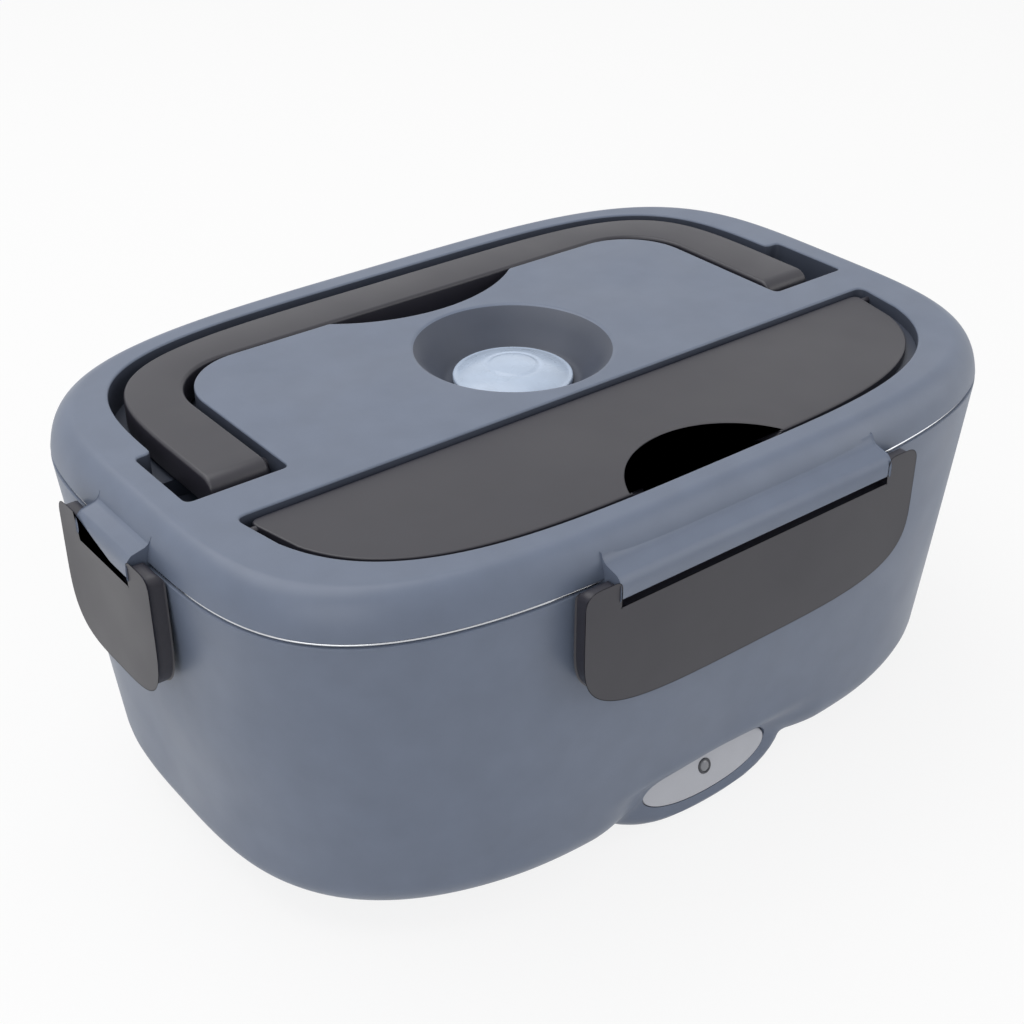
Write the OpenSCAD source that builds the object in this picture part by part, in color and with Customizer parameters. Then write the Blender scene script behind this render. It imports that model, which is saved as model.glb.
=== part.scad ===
// Electric lunch box: a heated base, a lift-out steel container with a side tray, and a
// latched lid that holds a carry handle, a cutlery compartment and a vent plug.
// It stands on z = 0, its length runs along X, and its indicator side faces -Y.

/* [Outline] */
// Length of the body at the seam between lid and base
body_l = 222.4; // [212:0.2:240]
// Width of the body at the seam
body_w = 150.8; // [146:0.2:162]
// Height of the lid's top above the table
total_h = 96; // [92:0.5:110]
// Squareness of the outline at the seam, where 2 is an ellipse
outline_n = 3.8; // [3.6:0.1:4.2]
// Height of the lid from its top down to the edge of its skirt
lid_h = 9.5; // [9:0.1:11]
// Gap between the lid's skirt and the container's rim
seam_gap = 0.2; // [0.1:0.1:0.5]

/* [Base] */
// Wall of the base shell
base_wall = 2.4; // [2:0.1:2.6]
// How much the ends lean in per millimetre of depth
end_draft = 0.06; // [0.03:0.01:0.08]
// How much the long sides lean in per millimetre of depth
side_draft = 0.05; // [0.04:0.01:0.07]
// Squareness of the outline at the bottom
bottom_n = 3.0; // [2.8:0.1:3.6]
// How far the soft bottom edge draws in
bottom_inset = 27; // [24:1:29]
// Height of the soft bottom edge
bottom_rise = 14; // [12:0.5:15]
// How far the bottom sits forward of the rim
bottom_lean = 2.5; // [1:0.5:3]
// Height of the electrical bay between the base's floor and the liner
bay_h = 14; // [13.5:0.5:16]
// How far the rubber feet lift the base
foot_h = 1.2; // [0.8:0.1:2]
// Radius of a rubber foot
foot_r = 7; // [5:0.5:8]
// Depth of the recess that holds a foot
foot_recess = 1; // [0.6:0.1:1.4]
// Half distance between the feet along the length
foot_x = 54; // [50:1:58]
// Half distance between the feet across the width
foot_y = 26; // [22:1:28]

/* [Indicator pod] */
// Width of the flat face of the pod
pod_w = 46; // [43:1:52]
// Height of the flat face of the pod
pod_h = 16; // [14:0.5:18]
// Height of the pod's middle above the table
pod_z = 11.6; // [11:0.2:12.4]
// How far the pod's face lies behind the seam's outline
pod_inset = 7.4; // [6.5:0.1:8]
// Backward tilt of the pod's face in degrees
pod_tilt = 18.5; // [12:0.5:22]
// How fast the pod falls away around its face
pod_fall = 24; // [18:1:30]
// Length of the oval label plate
label_l = 40.2; // [36:0.2:41]
// Height of the oval label plate
label_w = 12.2; // [11:0.2:12.4]
// Thickness of the label plate
label_t = 0.8; // [0.6:0.1:1]
// How far the label plate is sunk
label_sunk = 0.5; // [0.3:0.1:0.6]
// Radius of the indicator's lens
lens_r = 1.5; // [1.2:0.1:1.8]
// Width of the dark ring around the lens
lens_ring = 0.5; // [0.4:0.1:0.7]

/* [Power inlet] */
// Width of the inlet's face
inlet_w = 26; // [24:0.5:28]
// Height of the inlet's face
inlet_h = 11; // [10.5:0.25:12]
// Depth of the inlet's body behind its face
inlet_d = 16; // [14:0.5:18]
// Height of the inlet's middle above the table
inlet_z = 11.4; // [11:0.1:12]
// How far the inlet's face lies behind the seam's outline
inlet_inset = 5.6; // [5:0.1:6]
// Distance between the two contact pins
pin_pitch = 8.6; // [8:0.1:9]
// Radius of a contact pin
pin_r = 1.15; // [1:0.05:1.3]

/* [Liner and heater] */
// Wall of the inner liner
liner_wall = 1.5; // [1.2:0.1:1.8]
// Air gap between the base shell and the liner
liner_gap = 2; // [1.6:0.1:2.4]
// Thickness of the liner's top flange
liner_flange = 1.2; // [1:0.1:1.6]
// Length of the heating plate
heater_l = 150; // [140:1:156]
// Width of the heating plate
heater_w = 88; // [84:1:92]
// Thickness of the heating plate
heater_t = 1.5; // [1.2:0.1:2]
// Length of the heating element
ptc_l = 42; // [38:1:44]
// Width of the heating element
ptc_w = 26; // [24:1:28]
// Thickness of the heating element
ptc_t = 6; // [5:0.5:7]
// Radius of the shank of a base screw
screw_r = 1.5; // [1.25:0.05:1.75]
// Half distance between the base screws along the length
screw_x = 40; // [39:1:41]
// Half distance between the base screws across the width
screw_y = 28; // [28:0.5:30]

/* [Container and tray] */
// Sheet thickness of the steel container
steel_t = 0.8; // [0.6:0.1:1]
// Clearance between the liner and the container
pot_gap = 0.6; // [0.4:0.1:0.9]
// Rounding of the container's bottom edge
pot_round = 8; // [6:0.5:10]
// How far the container's rim stops short of the outline
rim_inset = 0.5; // [0.3:0.1:1]
// Length of the side tray
tray_l = 60; // [52:1:62]
// Width of the side tray
tray_w = 104; // [96:1:106]
// Wall of the side tray
tray_wall = 1.6; // [1.2:0.1:2]
// Distance of the side tray's middle from the outline's end
tray_end = 48.2; // [48.2:0.2:53]

/* [Lid] */
// Wall and deck of the lid shell
lid_wall = 2.2; // [1.8:0.1:2.3]
// How far the lid's soft top edge draws in
edge_inset = 6.1; // [5:0.1:7]
// Height over which the lid's soft top edge turns
edge_rise = 11.7; // [11:0.1:13]
// Wall of the pockets that hang under the lid's deck
pocket_wall = 1.4; // [1.2:0.1:1.4]
// How far the inner lid reaches below the skirt
inner_drop = 7.5; // [7.2:0.1:8.5]
// Wall of the inner lid
inner_wall = 1.2; // [1:0.1:1.4]

/* [Carry handle] */
// Distance from the outline's end to the handle channel
channel_end = 15.5; // [15:0.1:17]
// Distance from the outline's back to the handle channel
channel_back = 10.4; // [10.4:0.1:12]
// Squareness of the channel's outer edge
channel_n = 4.4; // [4:0.1:4.6]
// Half length of the island inside the channel
island_x = 75; // [73:0.5:76]
// Distance from the middle to the island's back edge
island_y = 46.3; // [45:0.1:47]
// Rounding of the island's back corners
island_r = 18; // [14:1:22]
// Gap between the handle and the channel's outer edge
handle_gap = 3.8; // [3:0.1:4.5]
// Gap between the handle and the island's ends
handle_inner_gap = 2.2; // [1.6:0.1:2.6]
// Gap between the handle and the island's back edge
handle_back_gap = 0.9; // [0.6:0.1:1.4]
// Thickness of the handle
handle_t = 7.4; // [6.5:0.1:7.6]
// Rounding of the handle's arm ends
handle_round = 4; // [3:0.5:5]
// Distance from the middle to the handle's pivot
pivot_y = 1; // [0:0.5:2]
// How far the arms run past the pivot
arm_tail = 6.5; // [5:0.5:7]
// Radius of the handle's pivot stubs
pivot_r = 2; // [1.6:0.1:2.2]
// Front edge of the arm pockets, in front of the middle
pocket_front = 9.8; // [9.8:0.1:11]
// Back edge of the arm pockets, behind the middle
pocket_back = 14; // [12:0.5:15]
// How far the arm pockets widen past the channel
pocket_wide = 4.3; // [3.5:0.1:4.4]
// Width of the finger notch in the island
notch_w = 58; // [50:1:62]
// Depth of the finger notch in the island
notch_d = 9.9; // [8:0.1:10.5]

/* [Cutlery compartment] */
// Distance from the middle to the compartment's straight back edge
comp_back = 21.2; // [21:0.1:23]
// Distance from the outline's ends to the compartment's opening
comp_end = 15.6; // [15:0.1:17]
// Distance from the outline's front to the compartment's opening
comp_front = 10.3; // [10:0.1:11.5]
// Squareness of the compartment's opening
comp_n = 3.7; // [3.5:0.1:4]
// Depth of the compartment below the lid's top
comp_depth = 13.5; // [12.5:0.1:13.6]
// Width of the ledge that the cover rests on
comp_ledge = 3; // [2.5:0.1:3.5]
// Depth of the cover's top below the lid's top
cover_drop = 1.4; // [1:0.1:1.8]
// Thickness of the cover
cover_t = 2.2; // [2:0.1:2.4]
// Gap around the curved edge of the cover
cover_gap = 2.4; // [1.5:0.1:2.6]
// Gap behind the straight edge of the cover
cover_back_gap = 0.8; // [0.6:0.1:1.1]
// Distance from the cover's back edge to its hinge stubs
cover_hinge = 2.5; // [2:0.1:3]
// Radius of the cover's hinge stubs
cover_pin_r = 0.9; // [0.7:0.05:1]
// Width of the cover's finger notch
finger_w = 45; // [36:1:50]
// Depth of the cover's finger notch
finger_d = 14.7; // [11:0.1:16]
// Width of the bevel around the cover's finger notch
finger_bevel = 3.2; // [2:0.1:4]

/* [Vent] */
// Distance from the middle to the vent's axis
vent_y = 7.5; // [6.5:0.5:8]
// Radius of the vent recess at the top
vent_r = 24.7; // [22:0.1:25]
// Radius of the vent recess at its floor
vent_floor_r = 17; // [16:0.1:18]
// Depth of the vent recess
vent_depth = 9.3; // [9:0.1:9.5]
// Radius of the vent plug's skirt
plug_r = 15.1; // [13:0.1:15.6]
// Height of the vent plug's dome above its skirt
plug_dome = 3; // [2:0.1:4]
// Radius of the vent plug's stem
stem_r = 5.6; // [4.5:0.1:6]

/* [Latches] */
// Distance of the hinge axis outside the outline
hinge_out = 2.4; // [2.3:0.1:2.8]
// Depth of the hinge axis below the lid's top
hinge_drop = 10.1; // [9.8:0.1:10.6]
// Distance of the latches' faces outside the outline
latch_out = 4.6; // [4.6:0.1:5.2]
// Width of the long latches
latch_long = 98; // [90:1:104]
// Width of the short latches
latch_short = 40; // [36:0.5:44]
// Width of an ear of a latch
ear_w = 7.8; // [6.5:0.1:8.5]
// Height from the hinge axis to a latch's bottom
latch_reach = 29.4; // [27:0.2:32]
// Height from the hinge axis down to the top of the flap
latch_top = 4.6; // [4.3:0.1:5.2]
// Height of the straight part of a latch's side below the hinge axis
latch_side = 10; // [8:0.5:12]
// Thickness of the flap
flap_t = 2; // [1.6:0.1:2.2]
// Width of the rim around the flap's back
flap_rim = 1.8; // [1.5:0.1:2.2]
// Side gap between a latch's ears and the ledge
ear_gap = 0.4; // [0.3:0.05:0.5]
// Radius of the latch stubs
latch_pin_r = 1.2; // [1:0.05:1.3]
// Depth of the catch bead below the lid's top
bead_drop = 25.6; // [24:0.2:28]
// Height of the catch bead
bead_h = 1.6; // [1.2:0.1:2]
// Gap between a latch's catch rib and the bead
catch_gap = 0.15; // [0.1:0.05:0.25]

/* [Cutlery] */
// Length of the spoon as a share of the body's length
spoon_share = 0.71; // [0.66:0.01:0.72]
// Length of the fork as a share of the body's length
fork_share = 0.61; // [0.58:0.01:0.62]
// Width of the spoon's bowl
bowl_w = 19; // [16:0.5:20]
// Width of the fork's head
fork_w = 12; // [10:0.5:13]
// Thickness of the cutlery's sheet
cutlery_t = 1; // [0.8:0.1:1.2]

/* [Hidden] */
$fn = 48;
eps = 0.01;
run_gap = 0.05;
half_l = body_l / 2;
half_w = body_w / 2;
skirt_z = total_h - lid_h;
pot_rim_z = skirt_z - seam_gap;
rim_z = pot_rim_z - steel_t;
base_h = rim_z - foot_h;
floor_z = foot_h + base_wall;
liner_z = floor_z + bay_h;
liner_floor_z = liner_z + liner_wall;
heater_z = liner_floor_z + heater_t;
rest_gap = 0.3;
pot_z = heater_z + rest_gap;
pot_floor_z = pot_z + steel_t;
pot_inset = base_wall + liner_gap + liner_wall + pot_gap;
pot_inner = pot_inset + steel_t;
inner_z = skirt_z - inner_drop;
ring_n = 96;
edge_steps = [0, 25, 40, 52, 64, 77, 90];
above_edge = [4, 8, 13];
blend = 4;

// Radius of a squared ellipse in the direction t
function squircle(a, b, n, t) =
    pow(pow(abs(cos(t)) / a, n) + pow(abs(sin(t)) / b, n), -1 / n);

// Points of a squared ellipse in plan, and the same as a level ring
function plan_pts(a, b, n, m = ring_n) =
    [for (i = [0 : m - 1]) let (t = 360 * i / m) squircle(a, b, n, t) * [cos(t), sin(t)]];
function ring(a, b, n, z, m = ring_n, dy = 0) =
    [for (p = plan_pts(a, b, n, m)) [p[0], p[1] + dy, z]];

// Points of an arc, and how far an elliptic edge draws in at height h above its start
function arc(c, r, a0, a1, steps = 6) =
    [for (i = [0 : steps]) let (a = a0 + (a1 - a0) * i / steps) c + r * [cos(a), sin(a)]];
function edge_in(h, rise, inset) =
    h >= rise ? 0 : inset * (1 - sqrt(max(0, 1 - pow((rise - h) / rise, 2))));

// The larger of two values, with a soft change-over of width k
function soft_max(p, q, k) =
    let (h = max(k - abs(p - q), 0) / k) max(p, q) + h * h * k / 4;

// How far down from the rim a height lies, from 0 to 1, and what changes with it
function depth_share(z) = (rim_z - z) / base_h;
function lean(z) = -bottom_lean * depth_share(z);
function level_n(z) = outline_n + (bottom_n - outline_n) * depth_share(z);

// Distance to the face of a bulge on one side, with its edges falling away
function bulge(t, z, inset, side, w, h, zc, reach, tilt) =
    let (s = side * sin(t))
    s < 0.3 ? 0 :
    let (y = reach - tan(tilt) * (z - zc) - side * lean(z) - inset,
         away = max(0, norm([y * cos(t) / s * 2 / w, (z - zc) * 2 / h]) - 1),
         under = edge_in(z - foot_h - inset, pod_edge, pod_edge))
    (y - pod_fall * away * away - under) / s;
pod_edge = 3;

// One level of the base's skin, drawn in by a wall thickness
function skin_point(t, z, inset) =
    let (edge = edge_in(z - foot_h - inset, bottom_rise, bottom_inset),
         a = half_l - end_draft * (rim_z - z) - inset - edge,
         b = half_w - side_draft * (rim_z - z) - inset - edge,
         body = squircle(a, b, level_n(z), t),
         front = bulge(t, z, inset, -1, pod_w, pod_h, pod_z, half_w - pod_inset, pod_tilt),
         back = bulge(t, z, inset, 1, inlet_w + 4, inlet_h + 3, inlet_z,
             half_w - inlet_inset, 0),
         r = soft_max(soft_max(body, front, blend), back, blend))
    [r * cos(t), r * sin(t) + lean(z), z];
function skin_ring(z, inset) =
    [for (i = [0 : ring_n - 1]) skin_point(360 * i / ring_n, z, inset)];
function skin_levels(inset, top) =
    concat([for (a = edge_steps) foot_h + inset + bottom_rise * (1 - cos(a))],
           [for (h = above_edge) foot_h + inset + bottom_rise + h], [top]);

// One level of a pot that nests in the base, with a rounded bottom edge
function pot_ring(z, inset, z0, round_r, m = 64) =
    let (edge = edge_in(z - z0, round_r, round_r))
    ring(half_l - inset - end_draft * (rim_z - z) - edge,
         half_w - inset - side_draft * (rim_z - z) - edge, level_n(z), z, m, lean(z));
pot_steps = [0, 25, 45, 65, 90];

// Solid between level rings of equal count
module loft(rings) {
    m = len(rings[0]);
    n = len(rings);
    polyhedron(
        points = [for (r = rings) each r],
        faces = concat(
            [[for (i = [0 : m - 1]) i]],
            [for (k = [0 : n - 2], i = [0 : m - 1])
                [k * m + i, (k + 1) * m + i, (k + 1) * m + (i + 1) % m]],
            [for (k = [0 : n - 2], i = [0 : m - 1])
                [k * m + i, (k + 1) * m + (i + 1) % m, k * m + (i + 1) % m]],
            [[for (i = [m - 1 : -1 : 0]) (n - 1) * m + i]]));
}

// Solid inside the base's skin, cut flat at its floor
module skin(inset, top) {
    bottom = foot_h + inset;
    difference() {
        loft(concat([[for (p = skin_ring(bottom, inset)) p - [0, 0, 1]]],
            [for (z = skin_levels(inset, top)) skin_ring(z, inset)]));
        translate([0, 0, bottom - 5])
            cube([body_l, body_w, 10], center = true);
    }
}

module pot(inset, z0, round_r, top) {
    loft(concat([for (a = pot_steps)
                    let (z = z0 + round_r * (1 - cos(a))) pot_ring(z, inset, z0, round_r)],
                [pot_ring(top, inset, z0, round_r)]));
}

// Flat plate with the seam's outline, drawn in by inset
module outline_plate(inset, z0, z1) {
    translate([0, 0, z0])
        linear_extrude(z1 - z0)
            polygon(plan_pts(half_l - inset, half_w - inset, outline_n));
}

module outline_band(outer, inner, z0, z1) {
    difference() {
        outline_plate(outer, z0, z1);
        outline_plate(inner, z0 - 1, z1 + 1);
    }
}

module rounded_slab(l, w, r, t) {
    linear_extrude(t)
        rounded_rect(l, w, r);
}

module rounded_rect(l, w, r) {
    square([l - 2 * r, w], center = true);
    square([l, w - 2 * r], center = true);
    for (x = [-1, 1], y = [-1, 1])
        translate([x * (l / 2 - r), y * (w / 2 - r)])
            circle(r);
}

module four(x, y) {
    for (sx = [-1, 1], sy = [-1, 1])
        translate([sx * x, sy * y, 0])
            children();
}

// Places a thing made at the front on each of the four sides
module on_side(turn, half) {
    rotate([0, 0, turn])
        translate([0, -half - hinge_out, total_h - hinge_drop])
            children();
}

// Places a thing on the pod's face, with local z pointing out of it
module on_pod(out = 0) {
    translate([0, -half_w + pod_inset, pod_z])
        rotate([90 - pod_tilt, 0, 0])
            translate([0, 0, out])
                children();
}

// Places a thing on the inlet's face, with local z pointing out of it
module on_inlet(out = 0) {
    translate([0, half_w - inlet_inset, inlet_z])
        rotate([-90, 0, 0])
            translate([0, 0, out])
                children();
}

boss_r = screw_r + 3.1;
head_r = screw_r * 2;
head_h = screw_r * 1.3;
boss_top = floor_z + 5.4;
head_z = foot_h + 1.2;
pin_clear = 0.2;

module base_shell() {
    color("#5f6b7d")
    difference() {
        union() {
            difference() {
                skin(0, rim_z);
                difference() {
                    skin(base_wall, rim_z + 1);
                    four(screw_x, screw_y)
                        translate([0, 0, foot_h + 0.5])
                            cylinder(h = boss_top - foot_h - 0.5, r = boss_r);
                }
            }
            four_beads();
        }
        outline_plate(rebate_in, rim_z - liner_flange, rim_z + 1);
        four(screw_x, screw_y)
            translate([0, 0, foot_h - 1]) {
                cylinder(h = boss_top, r = screw_r + pin_clear);
                cylinder(h = head_z + head_h - foot_h + 1, r = head_r + pin_clear);
            }
        four(foot_x, foot_y)
            translate([0, 0, foot_h - 1])
                cylinder(h = foot_recess + 1, r = foot_r + pin_clear);
        on_pod(-label_sunk)
            label_form(label_clear, 5);
        on_pod(-label_sunk - 8)
            cylinder(h = 10, r = led_r + pin_clear);
        on_inlet(-inlet_lip)
            rounded_slab(inlet_w + 2 * pin_clear, inlet_h + 2 * pin_clear,
                inlet_round + pin_clear, 5);
        on_inlet(-8)
            rounded_slab(inlet_w - 2 * inlet_step + 2 * pin_clear,
                inlet_h - 2 * inlet_step + 2 * pin_clear,
                inlet_round - inlet_step / 2 + pin_clear, 10);
    }
}
rebate_in = base_wall - 1;
label_clear = 0.15;
led_r = 1.5;
inlet_lip = 1.2;
inlet_step = 1.5;
inlet_round = 3;

// Beads on the base that the latches' catch ribs sit under
module four_beads() {
    bead_z = total_h - bead_drop - bead_h / 2;
    for (side = [-1, 1]) {
        translate([0, side * (half_w - bead_root / 2), bead_z + bead_h / 2])
            cube([2 * rib_half(latch_long) + 4, bead_root, bead_h], center = true);
        translate([side * (half_l - bead_root / 2), 0, bead_z + bead_h / 2])
            cube([bead_root, 2 * rib_half(latch_short) + 2, bead_h], center = true);
    }
}
bead_root = 2.2;
function rib_half(w) = w / 2 - ear_w - 8;

flange_clear = 0.2;
window_l = 70;
window_w = 40;

module inner_liner() {
    color("#d9dadb")
    difference() {
        union() {
            difference() {
                pot(base_wall + liner_gap, liner_z, pot_round, rim_z);
                pot(base_wall + liner_gap + liner_wall, liner_floor_z, pot_round, rim_z + 1);
            }
            outline_band(rebate_in + flange_clear, base_wall + liner_gap + liner_wall,
                rim_z - liner_flange, rim_z);
            four(screw_x, screw_y)
                translate([0, 0, boss_top + rest_gap])
                    cylinder(h = liner_z + 0.5 - boss_top - rest_gap, r = boss_r - 0.6);
        }
        translate([0, 0, liner_z - 1])
            rounded_slab(window_l, window_w, 6, liner_wall + 2);
        four(screw_x, screw_y)
            translate([0, 0, boss_top])
                cylinder(h = liner_z - 1 - boss_top, r = screw_r + run_gap);
        four(heater_l / 2 - plate_hole_in, 0)
            translate([0, 0, liner_z - 1])
                cylinder(h = liner_wall + 2, r = plate_screw_r + run_gap);
    }
}
plate_hole_in = 8;
plate_screw_r = 1.25;
plate_head_r = 2.4;
sink_d = 1;

module heating_plate() {
    color("silver")
    difference() {
        translate([0, lean(liner_z), liner_floor_z])
            rounded_slab(heater_l, heater_w, heater_w * 0.4, heater_t);
        for (side = [-1, 1])
            translate([side * (heater_l / 2 - plate_hole_in), 0, liner_floor_z - 1]) {
                cylinder(h = heater_t + 2, r = plate_screw_r + run_gap);
                translate([0, 0, 1 + heater_t - sink_d])
                    cylinder(h = sink_d + 1, r = plate_head_r + pin_clear);
            }
    }
}

module plate_screws() {
    color("gray")
    for (side = [-1, 1])
        translate([side * (heater_l / 2 - plate_hole_in), 0, heater_z - sink_d]) {
            cylinder(h = sink_d - 0.1, r = plate_head_r);
            translate([0, 0, -heater_t - 2.4 + sink_d])
                cylinder(h = heater_t + 2.4, r = plate_screw_r);
        }
}

ptc_x = -9;

module ptc_heater() {
    color("lightgray")
    difference() {
        translate([ptc_x, 0, liner_floor_z - ptc_t / 2])
            cube([ptc_l, ptc_w, ptc_t], center = true);
        for (i = [-2 : 2])
            translate([ptc_x, i * ptc_w / 6, liner_floor_z - ptc_t])
                cube([ptc_l + 2, 1.2, 3], center = true);
    }
}

cap_x = ptc_x + ptc_l / 2 + 10;
cap_r = 7;
fuse_r = 1.9;

module thermostat() {
    color("#333333")
    translate([cap_x, 9, liner_floor_z - 7]) {
        translate([0, 0, 3])
            cylinder(h = 4, r = cap_r);
        cylinder(h = 3, r = cap_r - 1.2);
        for (x = [-1, 1])
            translate([x * 3.4, 0, -1.5])
                cube([1, 3, 3.2], center = true);
    }
}

module thermal_fuse() {
    color("goldenrod")
    translate([cap_x, -9, liner_floor_z - fuse_r])
        rotate([0, 90, 0]) {
            cylinder(h = 10, r = fuse_r, center = true);
            cylinder(h = 14, r = 0.5, center = true);
        }
}

module power_inlet() {
    color("#222222")
    difference() {
        union() {
            on_inlet(-inlet_lip)
                rounded_slab(inlet_w, inlet_h, inlet_round, inlet_lip + 0.6);
            on_inlet(-inlet_d)
                rounded_slab(inlet_w - 2 * inlet_step, inlet_h - 2 * inlet_step,
                    inlet_round - inlet_step / 2, inlet_d);
        }
        on_inlet(-inlet_d + 3)
            linear_extrude(inlet_d)
                figure_eight();
        for (side = [-1, 1])
            on_inlet(-inlet_d - 1)
                translate([side * pin_pitch / 2, 0, 0])
                    cylinder(h = 6, r = pin_r + run_gap);
    }
}

module figure_eight() {
    for (side = [-1, 1])
        translate([side * pin_pitch / 2, 0])
            circle(inlet_h / 2 - 2.5);
    square([pin_pitch, inlet_h - 5.6], center = true);
}

pin_tail = 3;

module inlet_pins() {
    color("silver")
    for (side = [-1, 1])
        on_inlet(-inlet_d - pin_tail)
            translate([side * pin_pitch / 2, 0, 0])
                cylinder(h = inlet_d + 0.5, r = pin_r);
}

board_out = -8.2;

module indicator_board() {
    color("darkgreen")
    on_pod(board_out) {
        difference() {
            translate([0, 0, 0.5])
                cube([22, 7, 1], center = true);
            for (side = [-1, 1])
                translate([side * 9, 0, -1])
                    cylinder(h = 3, r = 0.8);
        }
        translate([6, 0, -0.7])
            cube([3, 1.6, 1.4], center = true);
    }
}

module indicator_led() {
    color("white")
    on_pod(board_out + 1) {
        cylinder(h = -board_out - 1 - label_sunk - 1.8, r = led_r);
        cylinder(h = 1, r = led_r + 0.4);
    }
}

module label_form(grow, t) {
    linear_extrude(t)
        polygon(plan_pts(label_l / 2 + grow, label_w / 2 + grow, 2.05, 72));
}

module label_plate() {
    color("#b9bcc4")
    on_pod(-label_sunk)
        difference() {
            label_form(0, label_t);
            translate([0, 0, -1])
                cylinder(h = label_t + 2, r = lens_r + lens_ring + run_gap);
        }
}

module indicator_lens() {
    color("#55585e")
    on_pod(-label_sunk) {
        cylinder(h = label_t + 0.3, r = lens_r + lens_ring);
        translate([0, 0, -1.5])
            cylinder(h = 2, r = led_r);
    }
}

module base_screws() {
    color("gray")
    four(screw_x, screw_y) {
        translate([0, 0, head_z])
            cylinder(h = head_h, r = head_r);
        translate([0, 0, head_z])
            cylinder(h = liner_z - 2.5 - head_z, r = screw_r);
    }
}

module rubber_feet() {
    color("#2b2b2b")
    four(foot_x, foot_y)
        cylinder(h = foot_h + foot_recess, r = foot_r);
}

// A wire run: straight stretches with round corners
module wire(points, r) {
    for (i = [0 : len(points) - 2])
        hull()
            for (p = [points[i], points[i + 1]])
                translate(p)
                    sphere(r, $fn = 12);
}

lead_r = 0.9;
lead_clear = lead_r + 0.1;
lead_in = 11;

module inner_wires() {
    wire_z = floor_z + 3;
    back_y = half_w - inlet_inset - inlet_d - pin_tail - lead_clear;
    front_y = -half_w + pod_inset + lead_in;
    ptc_end = liner_floor_z - ptc_t - lead_clear;
    color("firebrick")
    wire([[pin_pitch / 2, back_y, inlet_z], [cap_x, back_y - 10, wire_z],
        [cap_x, 9, wire_z], [cap_x, 9, liner_floor_z - 10.4]], lead_r);
    color("black")
    wire([[-pin_pitch / 2, back_y, inlet_z], [ptc_x, back_y - 10, wire_z],
        [ptc_x, 4, wire_z], [ptc_x, 4, ptc_end]], lead_r);
    color("white")
    wire([[-6, front_y, pod_z - 2], [-6, front_y + 12, wire_z],
        [ptc_x - 12, -6, wire_z], [ptc_x - 12, -6, ptc_end]], lead_r);
}

module steel_container() {
    color("#c9ccd0")
    difference() {
        union() {
            pot(pot_inset, pot_z, pot_round, rim_z + steel_t / 2);
            outline_band(rim_inset, pot_inner, rim_z, pot_rim_z);
        }
        pot(pot_inner, pot_floor_z, pot_round, pot_rim_z + 1);
    }
}

tray_x = half_l - tray_end;
tray_z = pot_floor_z + rest_gap;
tray_top = inner_z - rest_gap - 0.1;
tray_n = 3.5;
tray_draft = 0.05;
tray_lip = 1.6;

function tray_ring(z, grow) =
    [for (p = ring(tray_l / 2 + grow - tray_draft * (tray_top - z),
            tray_w / 2 + grow - tray_draft * (tray_top - z), tray_n, z, 64))
        p + [tray_x, lean(z) / 2, 0]];

module side_tray() {
    color("#e6e6e4")
    difference() {
        union() {
            loft([tray_ring(tray_z, -5), tray_ring(tray_z + 1.5, -1.5),
                tray_ring(tray_z + 5, 0), tray_ring(tray_top, 0)]);
            loft([tray_ring(tray_top - 2, tray_lip), tray_ring(tray_top, tray_lip)]);
        }
        loft([tray_ring(tray_z + tray_wall, -5 - tray_wall),
            tray_ring(tray_z + tray_wall + 1.5, -1.5 - tray_wall),
            tray_ring(tray_z + tray_wall + 5, -tray_wall),
            tray_ring(tray_top + 1, -tray_wall)]);
    }
}

// One level of the lid's soft outer skin
function lid_ring(z, inset, m = ring_n) =
    let (edge = edge_inset * (1 - sqrt(1 - pow((z - total_h + edge_rise) / edge_rise, 2))))
    ring(half_l - edge - inset, half_w - edge - inset, outline_n, z, m);
lid_steps = [0.32, 0.5, 0.66, 0.8, 0.91, 1];

module lid_outer() {
    loft(concat([lid_ring(skirt_z, 0)],
        [for (s = lid_steps) let (z = total_h - edge_rise * (1 - s))
            if (z > skirt_z + 0.5) lid_ring(z, 0)]));
}

module lid_cavity() {
    loft([ring(half_l - lid_wall, half_w - lid_wall, outline_n, skirt_z - 1),
        ring(half_l - lid_wall - 0.3, half_w - lid_wall - 0.3, outline_n, skirt_z + 2),
        ring(half_l - lid_wall - 2.8, half_w - lid_wall - 2.8, outline_n,
            total_h - lid_wall)]);
}

channel_x = half_l - channel_end;
channel_y = half_w - channel_back;
handle_top = total_h - 0.1;
handle_z = handle_top - handle_t;
channel_z = handle_z - 1.2;
pivot_z = handle_z + 2.6;
pocket_z = pivot_z - norm([arm_tail, handle_top - pivot_z]) - 0.3;
notch_r = (pow(notch_w / 2, 2) + notch_d * notch_d) / (2 * notch_d);
pocket_x = channel_x + pocket_wide;

module island_2d(grow) {
    r = island_r + grow;
    x = island_x + grow;
    y = island_y + grow;
    difference() {
        union() {
            translate([-x, -half_w])
                square([2 * x, half_w + y - r]);
            translate([-x + r, 0])
                square([2 * (x - r), y]);
            for (side = [-1, 1])
                translate([side * (x - r), y - r])
                    circle(r);
        }
        translate([0, island_y + notch_r - notch_d])
            circle(notch_r - grow);
    }
}

module pockets_2d(grow) {
    for (side = [-1, 1])
        translate([side * (island_x + pocket_x) / 2, (pocket_back - pocket_front) / 2])
            square([pocket_x - island_x + 2 * grow, pocket_back + pocket_front + 2 * grow],
                center = true);
}

// Plan of the handle channel, grown by a wall
module channel_2d(grow) {
    difference() {
        intersection() {
            polygon(plan_pts(channel_x + grow, channel_y + grow, channel_n));
            translate([-half_l, -pocket_front - grow])
                square([body_l, body_w]);
        }
        island_2d(-grow);
    }
    pockets_2d(grow);
}

comp_x = half_l - comp_end;
comp_y = half_w - comp_front;
comp_z = total_h - comp_depth;
ledge_z = total_h - cover_drop - cover_t - 0.1;

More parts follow.
